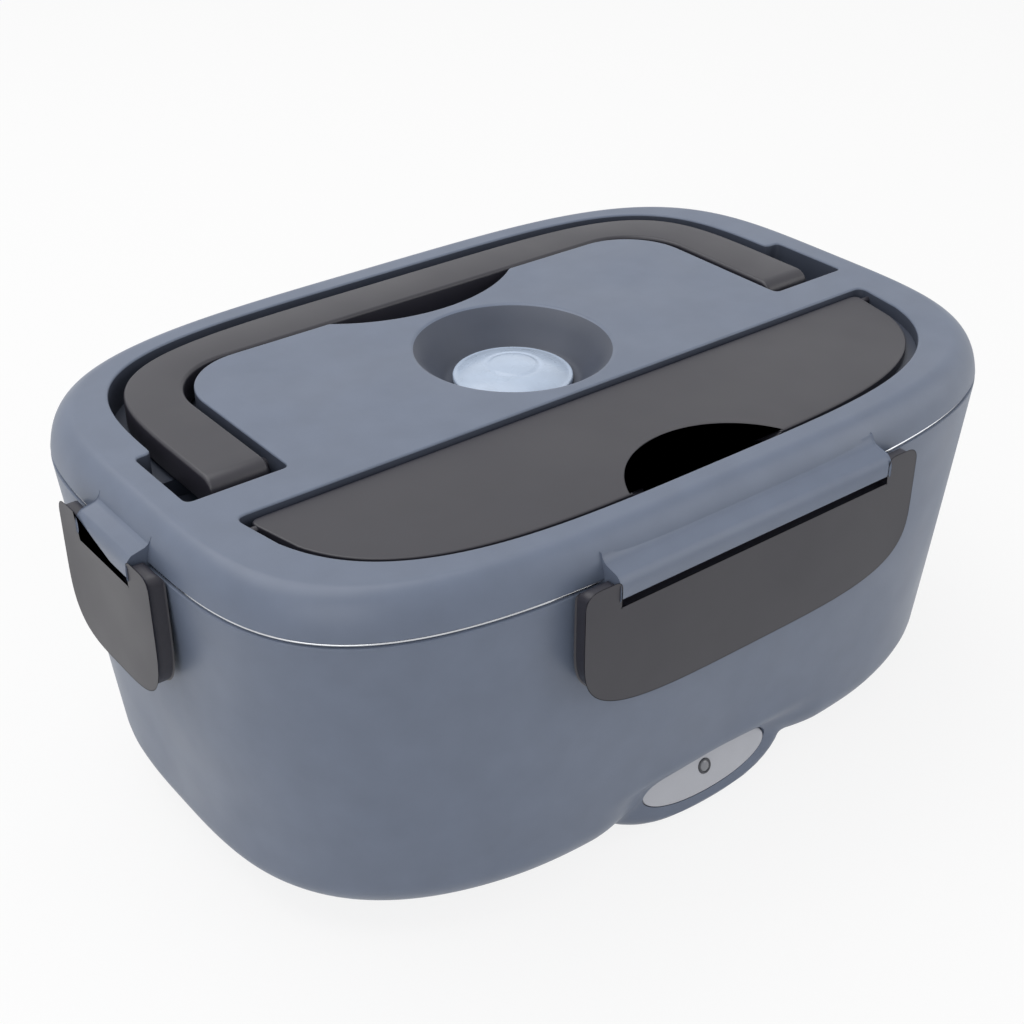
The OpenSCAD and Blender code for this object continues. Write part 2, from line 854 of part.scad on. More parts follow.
// Plan of the compartment's opening, grown by a wall
module comp_2d(grow, back_grow = 0) {
    intersection() {
        polygon(plan_pts(comp_x + grow, comp_y + grow, comp_n));
        translate([-half_l, -half_w - comp_back + back_grow])
            square([body_l, half_w]);
    }
}

module slab(z0, z1) {
    translate([0, 0, z0])
        linear_extrude(z1 - z0)
            children();
}

module vent_cone(grow, z0, z1) {
    slope = (vent_r - vent_floor_r) / vent_depth;
    translate([0, vent_y, z0])
        cylinder(h = z1 - z0, r1 = vent_r + grow - slope * (total_h - z0),
            r2 = vent_r + grow - slope * (total_h - z1), $fn = 64);
}

vent_z = total_h - vent_depth;
hinge_z = total_h - cover_drop - cover_t / 2;
cover_axis_y = -comp_back - cover_back_gap - cover_hinge;
deck_in = total_h - lid_wall / 2;
stub_in = 2.4;

module lid_shell() {
    color("#5f6b7d")
    difference() {
        union() {
            difference() {
                lid_outer();
                lid_cavity();
            }
            slab(channel_z - pocket_wall, deck_in)
                channel_2d(pocket_wall);
            slab(pocket_z - pocket_wall, deck_in)
                pockets_2d(pocket_wall);
            slab(ledge_z - pocket_wall, deck_in)
                comp_2d(pocket_wall, pocket_wall);
            slab(comp_z - pocket_wall, deck_in)
                comp_2d(pocket_wall - comp_ledge, pocket_wall);
            vent_cone(pocket_wall, vent_z - pocket_wall, deck_in);
            for (side = [-1, 1])
                translate([side * (island_x - pocket_wall - 1), pivot_y, pivot_z])
                    rotate([0, 90, 0])
                        cylinder(h = 2 * pocket_wall + 2, r = pivot_r + 1.8, center = true);
            for (turn = [0, 180])
                on_side(turn, half_w)
                    ledge(latch_long);
            for (turn = [90, -90])
                on_side(turn, half_l)
                    ledge(latch_short);
        }
        slab(channel_z, total_h + 1)
            channel_2d(0);
        slab(pocket_z, total_h + 1)
            pockets_2d(0);
        slab(ledge_z, total_h + 1)
            comp_2d(0);
        slab(comp_z, total_h + 1)
            comp_2d(-comp_ledge);
        slab(hinge_z - cover_hinge - cover_t / 2 - 0.4, total_h)
            intersection() {
                comp_2d(0);
                translate([-half_l, -comp_back - cover_back_gap - 2 * cover_hinge - 1])
                    square([body_l, body_w]);
            }
        vent_cone(0, vent_z, total_h + 1);
        translate([0, vent_y, vent_z - pocket_wall - 1])
            cylinder(h = pocket_wall + 2, r = stem_r + 0.4);
        for (side = [-1, 1]) {
            translate([side * (island_x - stub_in / 2 + 0.5), pivot_y, pivot_z])
                rotate([0, 90, 0])
                    cylinder(h = stub_in + 1.6, r = pivot_r + run_gap, center = true);
            translate([side * (comp_x - 0.2), cover_axis_y, hinge_z])
                rotate([0, 90, 0])
                    cylinder(h = 3, r = cover_pin_r + run_gap, center = true);
        }
        for (turn = [0, 180])
            on_side(turn, half_w)
                ledge_bores(latch_long);
        for (turn = [90, -90])
            on_side(turn, half_l)
                ledge_bores(latch_short);
    }
}

face_out = latch_out - hinge_out;
ledge_r = 2.1;
ledge_root = 4.3;
ledge_top = 6.8;
function ledge_half(w) = w / 2 - ear_w - ear_gap;

// Hinge ledge on the lid, drawn round the hinge axis with y pointing outwards
module ledge(w) {
    rotate([90, 0, -90])
        translate([0, 0, -ledge_half(w)])
            linear_extrude(2 * ledge_half(w))
                polygon(concat(
                    [[-ledge_r, -ledge_r]],
                    arc([face_out - 1, -ledge_r + 1], 1, -90, 0, 3),
                    arc([face_out - 3.2, 0.6], 3.2, 0, 62, 5),
                    [for (p = arc([0.7, ledge_top + 0.1], 3, 245, 195, 4))
                        p - [ledge_root - 2.5, 0]],
                    [[-ledge_root, ledge_top - 1], [-ledge_root, seam_over],
                        [-ledge_r, seam_over]]));
}
seam_over = hinge_drop - lid_h + 0.2;

module ledge_bores(w) {
    for (side = [-1, 1])
        translate([side * ledge_half(w), 0, 0])
            rotate([0, 90, 0])
                cylinder(h = 2 * stub_in + 0.4, r = latch_pin_r + run_gap, center = true);
}

seal_t = 2.2;
seal_w = 3.8;
seal_side = 0.7;
rim_in = pot_inner + 1.3;
flange_in = lid_wall + 2;
flange_z = pot_rim_z + rest_gap + seal_t + 0.1;

module inner_lid() {
    color("#e9e9e7")
    difference() {
        union() {
            outline_band(rim_in, rim_in + inner_wall, inner_z, flange_z + inner_wall);
            outline_plate(rim_in, inner_z, inner_z + 1.6);
            outline_band(flange_in, rim_in + inner_wall, flange_z, flange_z + inner_wall);
        }
        translate([0, vent_y, inner_z - 1])
            cylinder(h = 4, r = stem_r + 1.4);
        slab(channel_z - pocket_wall - 0.2, total_h)
            channel_2d(pocket_wall + 0.2);
    }
}

module lid_seal() {
    color("#dfe3e6")
    outline_band(lid_wall + seal_side, lid_wall + seal_side + seal_w,
        pot_rim_z + rest_gap, pot_rim_z + rest_gap + seal_t);
}

module vent_plug() {
    dome_r = (plug_r * plug_r + plug_dome * plug_dome) / (2 * plug_dome);
    skirt_top = vent_z + rest_gap + 1.5;
    color("#b8c4d6")
    translate([0, vent_y, 0])
    difference() {
        union() {
            translate([0, 0, vent_z + rest_gap])
                cylinder(h = 1.5, r = plug_r);
            intersection() {
                translate([0, 0, skirt_top - dome_r + plug_dome])
                    sphere(dome_r, $fn = 96);
                translate([0, 0, skirt_top - 0.5])
                    cylinder(h = plug_dome + 1, r = plug_r - 0.6);
            }
            translate([0, 0, inner_z + 0.2])
                cylinder(h = vent_z + 1 - inner_z, r = stem_r);
        }
        translate([0, 0, inner_z - 1])
            cylinder(h = vent_z + 1 - inner_z, r = stem_r - 1.6);
        translate([0, 0, skirt_top + plug_dome - 1])
            rotate_extrude()
                translate([6.4, 0])
                    square([0.8, 3]);
    }
}

handle_x = channel_x - handle_gap;
handle_y = channel_y - handle_gap;
handle_n = channel_n + 0.4;
grip_x = island_x + handle_inner_gap;
grip_y = island_y + handle_back_gap;

module carry_handle() {
    color("#3f3d42")
    difference() {
        union() {
            slab(handle_z, handle_top)
                difference() {
                    intersection() {
                        polygon(plan_pts(handle_x, handle_y, handle_n));
                        translate([-half_l, pivot_y - arm_tail])
                            square([body_l, body_w]);
                    }
                    translate([-grip_x, -half_w])
                        square([2 * grip_x, half_w + grip_y - island_r]);
                    translate([-grip_x + island_r, 0])
                        square([2 * (grip_x - island_r), grip_y]);
                    for (side = [-1, 1])
                        translate([side * (grip_x - island_r), grip_y - island_r])
                            circle(island_r);
                }
            for (side = [-1, 1])
                translate([side * (grip_x - (handle_inner_gap + stub_in) / 2 + 0.5),
                    pivot_y, pivot_z])
                    rotate([0, 90, 0])
                        cylinder(h = handle_inner_gap + stub_in + 1, r = pivot_r,
                            center = true);
        }
        difference() {
            translate([0, pivot_y - arm_tail, handle_top])
                cube([body_l, 2 * handle_round, 2 * handle_round], center = true);
            translate([0, pivot_y - arm_tail + handle_round, handle_top - handle_round])
                rotate([0, 90, 0])
                    cylinder(h = body_l, r = handle_round, center = true);
        }
    }
}

module cutlery_cover() {
    edge_y = comp_y - cover_gap;
    bottom_z = total_h - cover_drop - cover_t;
    finger_r = (pow(finger_w / 2, 2) + finger_d * finger_d) / (2 * finger_d);
    color("#3f3d42") {
        difference() {
            slab(bottom_z, bottom_z + cover_t)
                intersection() {
                    polygon(plan_pts(comp_x - cover_gap, edge_y, comp_n));
                    translate([-half_l, -half_w - comp_back - cover_back_gap])
                        square([body_l, half_w]);
                }
            translate([0, -edge_y + finger_d - finger_r, bottom_z - 1])
                cylinder(h = cover_t + 2, r = finger_r - finger_bevel, $fn = 64);
            translate([0, -edge_y + finger_d - finger_r, bottom_z + 0.6])
                cylinder(h = cover_t - 0.6 + eps, r1 = finger_r - finger_bevel,
                    r2 = finger_r, $fn = 64);
        }
        for (side = [-1, 1])
            translate([side * (comp_x - cover_gap / 2 - 1.4), cover_axis_y, hinge_z])
                rotate([0, 90, 0])
                    cylinder(h = cover_gap + 3, r = cover_pin_r, center = true);
    }
}

// Plan of a latch's flap seen from outside, round the hinge axis
function flap_pts(w, top, grow) =
    let (x = w / 2 + grow, d = latch_reach - latch_side + grow)
    concat([[-x, top], [x, top]],
        [for (a = [0 : 9 : 90])
            [x * pow(cos(a), 2 / outline_n), -latch_side - d * pow(sin(a), 2 / outline_n)]],
        [for (a = [81 : -9 : 0])
            [-x * pow(cos(a), 2 / outline_n), -latch_side - d * pow(sin(a), 2 / outline_n)]]);

flap_back = ledge_r - 0.1;
ear_r = 2;

module latch(w) {
    rib_z = hinge_drop - bead_drop - bead_h / 2 - 0.2;
    color("#3f3d42") {
        difference() {
            translate([0, flap_back, 0])
                rotate([90, 0, 0])
                    linear_extrude(flap_back + face_out)
                        polygon(flap_pts(w, -latch_top, 0));
            translate([0, flap_back + 1, 0])
                rotate([90, 0, 0])
                    linear_extrude(flap_back + 1 + face_out - flap_t)
                        polygon(flap_pts(w, -latch_top - flap_rim, -flap_rim));
        }
        translate([0, (hinge_out - catch_gap - face_out + flap_t) / 2 - 0.15, rib_z - 0.6])
            cube([2 * rib_half(w), hinge_out - catch_gap + face_out - flap_t + 0.3, 1.2],
                center = true);
        for (side = [-1, 1]) {
            translate([side * (w / 2 - ear_w / 2), 0, 0])
                rotate([90, 0, 90])
                    linear_extrude(ear_w, center = true)
                        union() {
                            circle(ear_r);
                            translate([-face_out, -latch_top - flap_rim])
                                square([face_out + flap_back, latch_top + flap_rim]);
                            translate([-face_out, -eps])
                                square([face_out, ear_r - 0.1]);
                        }
            translate([side * (w / 2 - ear_w - (ear_gap + stub_in) / 2 + 0.5), 0, 0])
                rotate([0, 90, 0])
                    cylinder(h = ear_gap + stub_in + 1, r = latch_pin_r, center = true);
        }
    }
}

module latch_front() {
    on_side(0, half_w)
        latch(latch_long);
}

module latch_back() {
    on_side(180, half_w)
        latch(latch_long);
}

module latch_left() {
    on_side(-90, half_l)
        latch(latch_short);
}

module latch_right() {
    on_side(90, half_l)
        latch(latch_short);
}

cutlery_z = comp_z + 0.3;
spoon_l = body_l * spoon_share;
fork_l = body_l * fork_share;
spoon_y = -comp_back - 3 - bowl_w / 2;
fork_y = spoon_y - bowl_w / 2 - 1 - fork_w / 2;

// Flat handle of a spoon or fork, from its head at x0 to its rounded end at x1
module shaft(x0, x1, y) {
    translate([(x0 + x1) / 2, y, cutlery_z + cutlery_t])
        rounded_slab(x1 - x0, 6, 2.9, cutlery_t);
}

module spoon() {
    bowl_l = 1.6 * bowl_w;
    ball_r = 36;
    color("#d4d6d9")
    union() {
        intersection() {
            translate([-spoon_l / 2 + bowl_l / 2, spoon_y, cutlery_z])
                linear_extrude(6)
                    polygon(plan_pts(bowl_l / 2, bowl_w / 2, 2.1, 48));
            translate([-spoon_l / 2 + bowl_l / 2, spoon_y, cutlery_z + ball_r])
                difference() {
                    sphere(ball_r, $fn = 96);
                    sphere(ball_r - cutlery_t, $fn = 96);
                }
        }
        shaft(-spoon_l / 2 + bowl_l - 4, spoon_l / 2, spoon_y);
    }
}

module fork() {
    head_l = 34;
    tine = fork_w / 7;
    color("#d4d6d9")
    difference() {
        union() {
            shaft(-fork_l / 2 + head_l - 4, fork_l / 2, fork_y);
            translate([-fork_l / 2 + head_l / 2, fork_y, cutlery_z + cutlery_t])
                rounded_slab(head_l, fork_w, 4, cutlery_t);
        }
        for (i = [-1 : 1])
            translate([-fork_l / 2 + 8, fork_y + i * 2 * tine, cutlery_z])
                cube([30, tine, 8], center = true);
    }
}

base_shell();
inner_liner();
heating_plate();
plate_screws();
ptc_heater();
thermostat();
thermal_fuse();
power_inlet();
inlet_pins();
indicator_board();
indicator_led();
label_plate();
indicator_lens();
base_screws();
rubber_feet();
inner_wires();
steel_container();
side_tray();
lid_shell();
inner_lid();
lid_seal();
spoon();
fork();
vent_plug();
carry_handle();
cutlery_cover();
latch_front();
latch_back();
latch_left();
latch_right();
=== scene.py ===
"""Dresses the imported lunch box: smooth moulded shells, steel, silicone, light and camera.

Lengths are in millimetres until a mesh is made. Plan outlines run counterclockwise seen
from above, and the box's front is at -Y.
"""

import math

import bmesh
import bpy
import numpy as np
from mathutils import Matrix, Vector


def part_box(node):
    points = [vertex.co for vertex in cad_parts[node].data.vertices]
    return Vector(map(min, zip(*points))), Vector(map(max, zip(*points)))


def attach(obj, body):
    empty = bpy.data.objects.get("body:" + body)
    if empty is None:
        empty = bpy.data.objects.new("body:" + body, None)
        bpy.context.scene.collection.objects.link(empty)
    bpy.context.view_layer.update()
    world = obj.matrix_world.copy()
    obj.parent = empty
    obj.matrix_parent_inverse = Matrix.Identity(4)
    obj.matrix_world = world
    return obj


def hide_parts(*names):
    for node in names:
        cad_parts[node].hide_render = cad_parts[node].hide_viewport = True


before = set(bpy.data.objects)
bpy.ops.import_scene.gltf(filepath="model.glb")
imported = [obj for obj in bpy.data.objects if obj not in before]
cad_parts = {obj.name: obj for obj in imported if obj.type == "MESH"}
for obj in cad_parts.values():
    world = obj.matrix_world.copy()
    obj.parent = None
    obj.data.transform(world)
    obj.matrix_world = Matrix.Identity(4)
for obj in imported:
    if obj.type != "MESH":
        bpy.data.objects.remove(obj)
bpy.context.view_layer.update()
MM = 0.001


def node_box(name):
    """Lowest and highest corner of a CAD node, in millimetres."""
    low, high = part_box(name)
    return np.array(low) / MM, np.array(high) / MM


# ---------------------------------------------------------------- driving sizes

BASE_LOW, BASE_HIGH = node_box("base_shell")
HALF_L, HALF_W = BASE_HIGH[0], BASE_HIGH[1]
RIM_Z = BASE_HIGH[2]
FOOT_H = BASE_LOW[2]
LID_HIGH = node_box("lid_shell")[1]
TOP = LID_HIGH[2]
POT_RIM_Z = node_box("steel_container")[1][2]
SKIRT_Z = POT_RIM_Z + 0.2
LATCH_OUT = LID_HIGH[0] - HALF_L
HINGE_OUT = 2.4
HINGE_Z = TOP - 10.1
OUTLINE_N = 3.8

BASE_H = RIM_Z - FOOT_H
WALL = 2.4
END_DRAFT, SIDE_DRAFT = 0.06, 0.05
BOTTOM_N = 3.0
BOTTOM_INSET, BOTTOM_RISE = 27, 14
BOTTOM_LEAN = 2.5
BLEND = 4
POD_EDGE = 3
POD = dict(side=-1, w=46, h=16, zc=11.6, reach=HALF_W - 7.4, tilt=18.5)
INLET = dict(side=1, w=30, h=14, zc=11.4, reach=HALF_W - 5.6, tilt=0)
POD_FALL = 24

LID_WALL = 2.2
EDGE_INSET, EDGE_RISE = 6.1, 11.7
LIP = 0.5
FLOOR_ROUND = 1.2
GUARD = 0.4


# ---------------------------------------------------------------- plan curves

def squircle(a, b, n, t):
    """Radius of a squared ellipse in the directions t, in radians."""
    c, s = np.abs(np.cos(t)) / a, np.abs(np.sin(t)) / b
    return (c**n + s**n) ** (-1 / n)


def angles(m):
    return np.arange(m) * 2 * np.pi / m


def plan(a, b, n, m=360):
    t = angles(m)
    r = squircle(a, b, n, t)
    return np.stack([r * np.cos(t), r * np.sin(t)], 1)


def arc(centre, r, start, end, steps=12):
    t = np.radians(np.linspace(start, end, steps + 1))
    return np.array(centre) + r * np.stack([np.cos(t), np.sin(t)], 1)


def curve_y(a, b, n, x):
    """Height of a squared ellipse over x."""
    return b * (1 - min(1, abs(x / a)) ** n) ** (1 / n)


def curve_x(a, b, n, y):
    return a * (1 - min(1, abs(y / b)) ** n) ** (1 / n)


def soften(points, r, sharp=20, steps=6):
    """Rounds the sharp corners of a closed outline. r is one radius, or one per corner."""
    pts = [np.array(p, float) for p in points]
    out, corner = [], 0
    for i, p in enumerate(pts):
        back, ahead = pts[i - 1] - p, pts[(i + 1) % len(pts)] - p
        lb, la = np.linalg.norm(back), np.linalg.norm(ahead)
        turn = math.pi - math.acos(np.clip(back @ ahead / lb / la, -1, 1))
        if math.degrees(turn) < sharp:
            out.append(p)
            continue
        radius = r[corner] if np.ndim(r) else r
        corner += 1
        reach = min(radius * math.tan(turn / 2), 0.95 * lb, 0.95 * la)
        for k in range(steps + 1):
            f = k / steps
            out.append((1 - f) ** 2 * (p + back / lb * reach)
                       + 2 * f * (1 - f) * p
                       + f**2 * (p + ahead / la * reach))
    return np.array(out)


def grown(outline, d):
    """A closed outline moved outwards by d along its normals."""
    ahead = np.roll(outline, -1, 0) - outline
    ahead /= np.linalg.norm(ahead, axis=1)[:, None]
    back = np.roll(ahead, 1, 0)
    normal = np.stack([ahead[:, 1] + back[:, 1], -ahead[:, 0] - back[:, 0]], 1)
    normal /= np.linalg.norm(normal, axis=1)[:, None]
    stretch = np.clip((normal * np.stack([ahead[:, 1], -ahead[:, 0]], 1)).sum(1), 0.5, 1)
    return outline + normal * (d / stretch)[:, None]


def at_z(outline, z):
    return np.column_stack([outline, np.full(len(outline), z)])


def rounded_box(l, w, r, steps=8):
    corners = [(1, 1, 0), (-1, 1, 90), (-1, -1, 180), (1, -1, 270)]
    return np.vstack([arc((sx * (l / 2 - r), sy * (w / 2 - r)), r, a, a + 90, steps)
                      for sx, sy, a in corners])


# ---------------------------------------------------------------- mesh making

def finished(name, bm, body, material, replaces=(), sharp=32):
    """Turns a bmesh in millimetres into a shown piece that rides on a body."""
    bmesh.ops.remove_doubles(bm, verts=bm.verts, dist=1e-4)
    bmesh.ops.recalc_face_normals(bm, faces=bm.faces)
    mesh = bpy.data.meshes.new(name)
    bm.to_mesh(mesh)
    bm.free()
    return shown(name, mesh, body, material, replaces, sharp, MM)


def shown(name, mesh, body, material, replaces=(), sharp=32, scale=1):
    mesh.transform(Matrix.Scale(scale, 4))
    mesh.shade_smooth()
    mesh.set_sharp_from_angle(angle=math.radians(sharp))
    mesh.materials.clear()
    mesh.materials.append(material)
    obj = bpy.data.objects.new(name, mesh)
    bpy.context.scene.collection.objects.link(obj)
    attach(obj, body)
    if replaces:
        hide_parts(*replaces)
    return obj


def add_ring(bm, points):
    return [bm.verts.new(p) for p in points]


def bridge(bm, low, high, closed=True):
    m = len(low)
    for i in range(m if closed else m - 1):
        j = (i + 1) % m
        bm.faces.new((low[i], low[j], high[j], high[i]))


def add_loft(bm, rings, cap_start=True, cap_end=True, closed=True):
    """Quads between rings of equal count, with flat caps."""
    made = [add_ring(bm, r) for r in rings]
    for low, high in zip(made, made[1:]):
        bridge(bm, low, high, closed)
    if cap_start:
        bm.faces.new(made[0][::-1])
    if cap_end:
        bm.faces.new(made[-1])
    return made


def loft(rings, **caps):
    bm = bmesh.new()
    add_loft(bm, rings, **caps)
    return bm


def add_deck(bm, loops):
    """Fills a flat area between closed loops of vertices."""
    edges = []
    for loop in loops:
        for a, b in zip(loop, loop[1:] + loop[:1]):
            edges.append(bm.edges.get((a, b)) or bm.edges.new((a, b)))
    bmesh.ops.triangle_fill(bm, edges=edges, use_beauty=True, normal=(0, 0, 1))


def lip_rings(outline, z, r=LIP, steps=5):
    """From the deck around a hole, over its rounded edge and on to its wall."""
    rings = [at_z(grown(outline, r + GUARD), z)]
    for a in np.radians(np.linspace(0, 90, steps + 1)):
        rings.append(at_z(grown(outline, r * (1 - math.sin(a))), z - r * (1 - math.cos(a))))
    return rings


def floor_rings(outline, z, r=FLOOR_ROUND, steps=5):
    """From a wall, through a rounded corner and on to a floor at z."""
    rings = []
    for a in np.radians(np.linspace(0, 90, steps + 1)):
        rings.append(at_z(grown(outline, -r * (1 - math.cos(a))), z + r * (1 - math.sin(a))))
    return rings


def turned(profile, centre=(0, 0), m=128):
    """Rings of a turned piece from its profile of (radius, height) pairs."""
    t = angles(m)
    circle = np.stack([np.cos(t), np.sin(t)], 1)
    return [np.column_stack([circle * r + centre, np.full(m, z)]) for r, z in profile]


def corner(centre, r, start, end, steps=5):
    """Points of a profile's rounded corner, as (radius, height) pairs."""
    return [tuple(p) for p in arc(centre, r, start, end, steps)]


def slab_rings(outline, z0, z1, top_r=0.5, low_r=0.3, steps=4):
    """A plate with rounded edges, from its bottom to its top."""
    rings = [at_z(grown(outline, -low_r - GUARD), z0)]
    for a in np.radians(np.linspace(0, 90, steps + 1)):
        rings.append(at_z(grown(outline, -low_r * (1 - math.sin(a))),
                          z0 + low_r * (1 - math.cos(a))))
    for a in np.radians(np.linspace(0, 90, steps + 1)):
        rings.append(at_z(grown(outline, -top_r * (1 - math.cos(a))),
                          z1 - top_r * (1 - math.sin(a))))
    rings.append(at_z(grown(outline, -top_r - GUARD), z1))
    return rings


def cut_away(name, body_bm, cutter_bm):
    """The mesh that is left of one closed bmesh after another is cut from it."""
    parts = []
    for part, bm in (("body", body_bm), ("cutter", cutter_bm)):
        bmesh.ops.recalc_face_normals(bm, faces=bm.faces)
        mesh = bpy.data.meshes.new(f"{name}_{part}")
        bm.to_mesh(mesh)
        bm.free()
        obj = bpy.data.objects.new(mesh.name, mesh)
        bpy.context.scene.collection.objects.link(obj)
        parts.append(obj)
    whole, cutter = parts
    modifier = whole.modifiers.new("cut", "BOOLEAN")
    modifier.operation = "DIFFERENCE"
    modifier.solver = "MANIFOLD"
    modifier.object = cutter
    ready = whole.evaluated_get(bpy.context.evaluated_depsgraph_get())
    result = bpy.data.meshes.new_from_object(ready)
    for obj in parts:
        bpy.data.objects.remove(obj)
    return result


def placed(bm, matrix, start=0):
    """Moves the vertices made since start."""
    bm.verts.ensure_lookup_table()
    for v in bm.verts[start:]:
        v.co = matrix @ v.co


# ---------------------------------------------------------------- materials

def linear(*rgb):
    """A colour given as it looks on screen, 0 to 255, for a shader."""
    c = [x / 255 for x in rgb]
    return [x / 12.92 if x <= 0.04045 else ((x + 0.055) / 1.055) ** 2.4 for x in c] + [1]


class Shader:
    """A material with its Principled shader and short calls for the nodes before it."""

    def __init__(self, name, color, roughness, metallic=0.0, **sockets):
        self.material = bpy.data.materials.new(name)
        self.material.use_nodes = True
        self.material.diffuse_color = color
        self.tree = self.material.node_tree
        self.bsdf = self.tree.nodes["Principled BSDF"]
        self.bsdf.inputs["Base Color"].default_value = color
        self.bsdf.inputs["Roughness"].default_value = roughness
        self.bsdf.inputs["Metallic"].default_value = metallic
        for key, value in sockets.items():
            self.bsdf.inputs[key.replace("_", " ")].default_value = value
        coords = self.tree.nodes.new("ShaderNodeTexCoord")
        self.coords = coords.outputs["Object"]

    def node(self, kind, links=None, **values):
        n = self.tree.nodes.new(kind)
        for key, value in values.items():
            if key in n.inputs:
                n.inputs[key].default_value = value
            else:
                setattr(n, key, value)
        for key, source in (links or {}).items():
            self.tree.links.new(source, n.inputs[key])
        return n

    def noise(self, size, detail=2.0, stretch=(1, 1, 1)):
        """Noise whose grains are about size millimetres across."""
        s = 1 / (size * MM)
        mapped = self.node("ShaderNodeMapping", {"Vector": self.coords},
                           Scale=[s * f for f in stretch])
        return self.node("ShaderNodeTexNoise", {"Vector": mapped.outputs[0]}, Scale=1.0,
                         Detail=detail).outputs["Fac"]

    def spread(self, source, low, high):
        """Brings noise around its middle to the range from low to high."""
        return self.node("ShaderNodeMapRange", {"Value": source}, **{
            "From Min": 0.3, "From Max": 0.7, "To Min": low, "To Max": high}
        ).outputs["Result"]

    def bump(self, height, distance, strength=1.0, under=None):
        links = {"Height": height}
        if under is not None:
            links["Normal"] = under
        out = self.node("ShaderNodeBump", links, Distance=distance * MM,
                        Strength=strength).outputs["Normal"]
        self.tree.links.new(out, self.bsdf.inputs["Normal"])
        return out

    def shade(self, source, dark, light):
        """Mixes two colours by a source into the base colour."""
        mix = self.node("ShaderNodeMix", {"Factor": source}, data_type="RGBA")
        for i in mix.inputs:
            if i.name == "A" and i.type == "RGBA":
                i.default_value = dark
            if i.name == "B" and i.type == "RGBA":
                i.default_value = light
        out = next(o for o in mix.outputs if o.type == "RGBA")
        self.tree.links.new(out, self.bsdf.inputs["Base Color"])

    def vary_roughness(self, source, low, high):
        self.tree.links.new(self.spread(source, low, high), self.bsdf.inputs["Roughness"])


def scaled(color, f):
    return [c * f for c in color[:3]] + [1]


def moulded(name, color, roughness, grain=0.35, depth=0.006, spread=0.05, tint=0.05,
            **sockets):
    """Moulded plastic: a fine spark-eroded grain, and slight drifts in tone and gloss."""
    s = Shader(name, color, roughness, **sockets)
    s.bump(s.noise(grain, 3.0), depth)
    cloud = s.noise(26, 2.0)
    s.vary_roughness(cloud, roughness - spread, roughness + spread)
    s.shade(s.spread(s.noise(9, 4.0), 0.0, 1.0), scaled(color, 1 - tint),
            scaled(color, 1 + tint))
    return s.material


def drawn_steel(name, stretch=(1, 1, 0.03), roughness=0.22):
    s = Shader(name, linear(205, 207, 210), roughness, metallic=1.0)
    lines = s.noise(0.25, 4.0, stretch)
    s.bump(lines, 0.004)
    s.vary_roughness(lines, roughness - 0.06, roughness + 0.1)
    s.shade(s.spread(s.noise(14, 3.0), 0.0, 1.0), linear(186, 188, 192),
            linear(214, 216, 220))
    return s.material


def silicone(name, color, transmission=0.25, roughness=0.32):
    s = Shader(name, color, roughness, Transmission_Weight=transmission, IOR=1.41,
               Coat_Weight=0.3,
               Coat_Roughness=0.2)
    s.bump(s.noise(1.1, 2.0), 0.01)
    s.vary_roughness(s.noise(5, 2.0), roughness - 0.06, roughness + 0.08)
    s.shade(s.spread(s.noise(6, 2.0), 0.0, 1.0), scaled(color, 0.94), scaled(color, 1.04))
    return s.material


BODY = moulded("body_plastic", linear(103, 113, 132), 0.42)
# Painted shade: a darker copy of the body plastic, for the lid's recesses where shade falls.
PAINTED_SHADE_BODY = moulded("body_painted_shade", linear(62, 68, 82), 0.5)
TRIM = moulded("trim_plastic", linear(43, 42, 50), 0.4, grain=0.3, depth=0.005)
PALE = moulded("pale_plastic", linear(196, 197, 198), 0.4)
TRAY = moulded("tray_plastic", linear(222, 222, 218), 0.36, tint=0.03)
BLACK = moulded("black_plastic", linear(30, 30, 31), 0.45)
RUBBER = moulded("foot_rubber", linear(34, 34, 35), 0.75, grain=0.5, depth=0.02)
STEEL = drawn_steel("drawn_steel")
PLATE = drawn_steel("plate_metal", (0.04, 1, 1), 0.34)
SHEET = drawn_steel("cutlery_steel", (0.05, 1, 1), 0.16)
BRASS = moulded("contact_brass", linear(196, 168, 110), 0.3, Metallic=1.0)
PLUG = silicone("plug_silicone", linear(186, 201, 222), 0.0, 0.28)
SEAL = silicone("seal_silicone", linear(214, 218, 222), 0.1, 0.4)
LABEL = moulded("label_foil", linear(182, 184, 191), 0.36, grain=0.18, depth=0.004,
                tint=0.02, Metallic=0.25)
# Painted shadow: a dark sheet for the gap round the label, where there is only shade.
PAINTED_GAP_SHADOW = moulded("gap_painted_shadow", linear(52, 56, 66), 0.6)
LENS = moulded("lens_grey", linear(128, 130, 136), 0.18, depth=0.001, Coat_Weight=0.6)
RING = moulded("lens_ring", linear(66, 68, 74), 0.4)
BOARD = moulded("board_green", linear(28, 88, 50), 0.4)
LED = silicone("led_epoxy", linear(236, 236, 226), 0.5, 0.1)
WIRES = moulded("wire_cover", linear(150, 34, 30), 0.45)


# ---------------------------------------------------------------- base shell

def edge_in(h, rise, inset):
    """How far an elliptic edge draws in at height h above its start."""
    return inset * (1 - np.sqrt(np.maximum(0, 1 - (np.maximum(rise - h, 0) / rise) ** 2)))


def soft_max(p, q, k=BLEND):
    h = np.maximum(k - np.abs(p - q), 0) / k
    return np.maximum(p, q) + h * h * k / 4


def depth_share(z):
    return (RIM_Z - z) / BASE_H


def lean(z):
    return -BOTTOM_LEAN * depth_share(z)


def level_n(z):
    return OUTLINE_N + (BOTTOM_N - OUTLINE_N) * depth_share(z)


def bulge(t, z, inset, side, w, h, zc, reach, tilt):
    """Distance to the face of a bulge on one side, with its edges falling away."""
    s = side * np.sin(t)
    faces = s > 0.3
    s = np.maximum(s, 0.3)
    y = reach - math.tan(math.radians(tilt)) * (z - zc) - side * lean(z) - inset
    along = y * np.cos(t) / s * 2 / w
    away = np.maximum(0, np.hypot(along, (z - zc) * 2 / h) - 1)
    under = edge_in(z - FOOT_H - inset, POD_EDGE, POD_EDGE)
    return np.where(faces, (y - POD_FALL * away**2 - under) / s, 0)


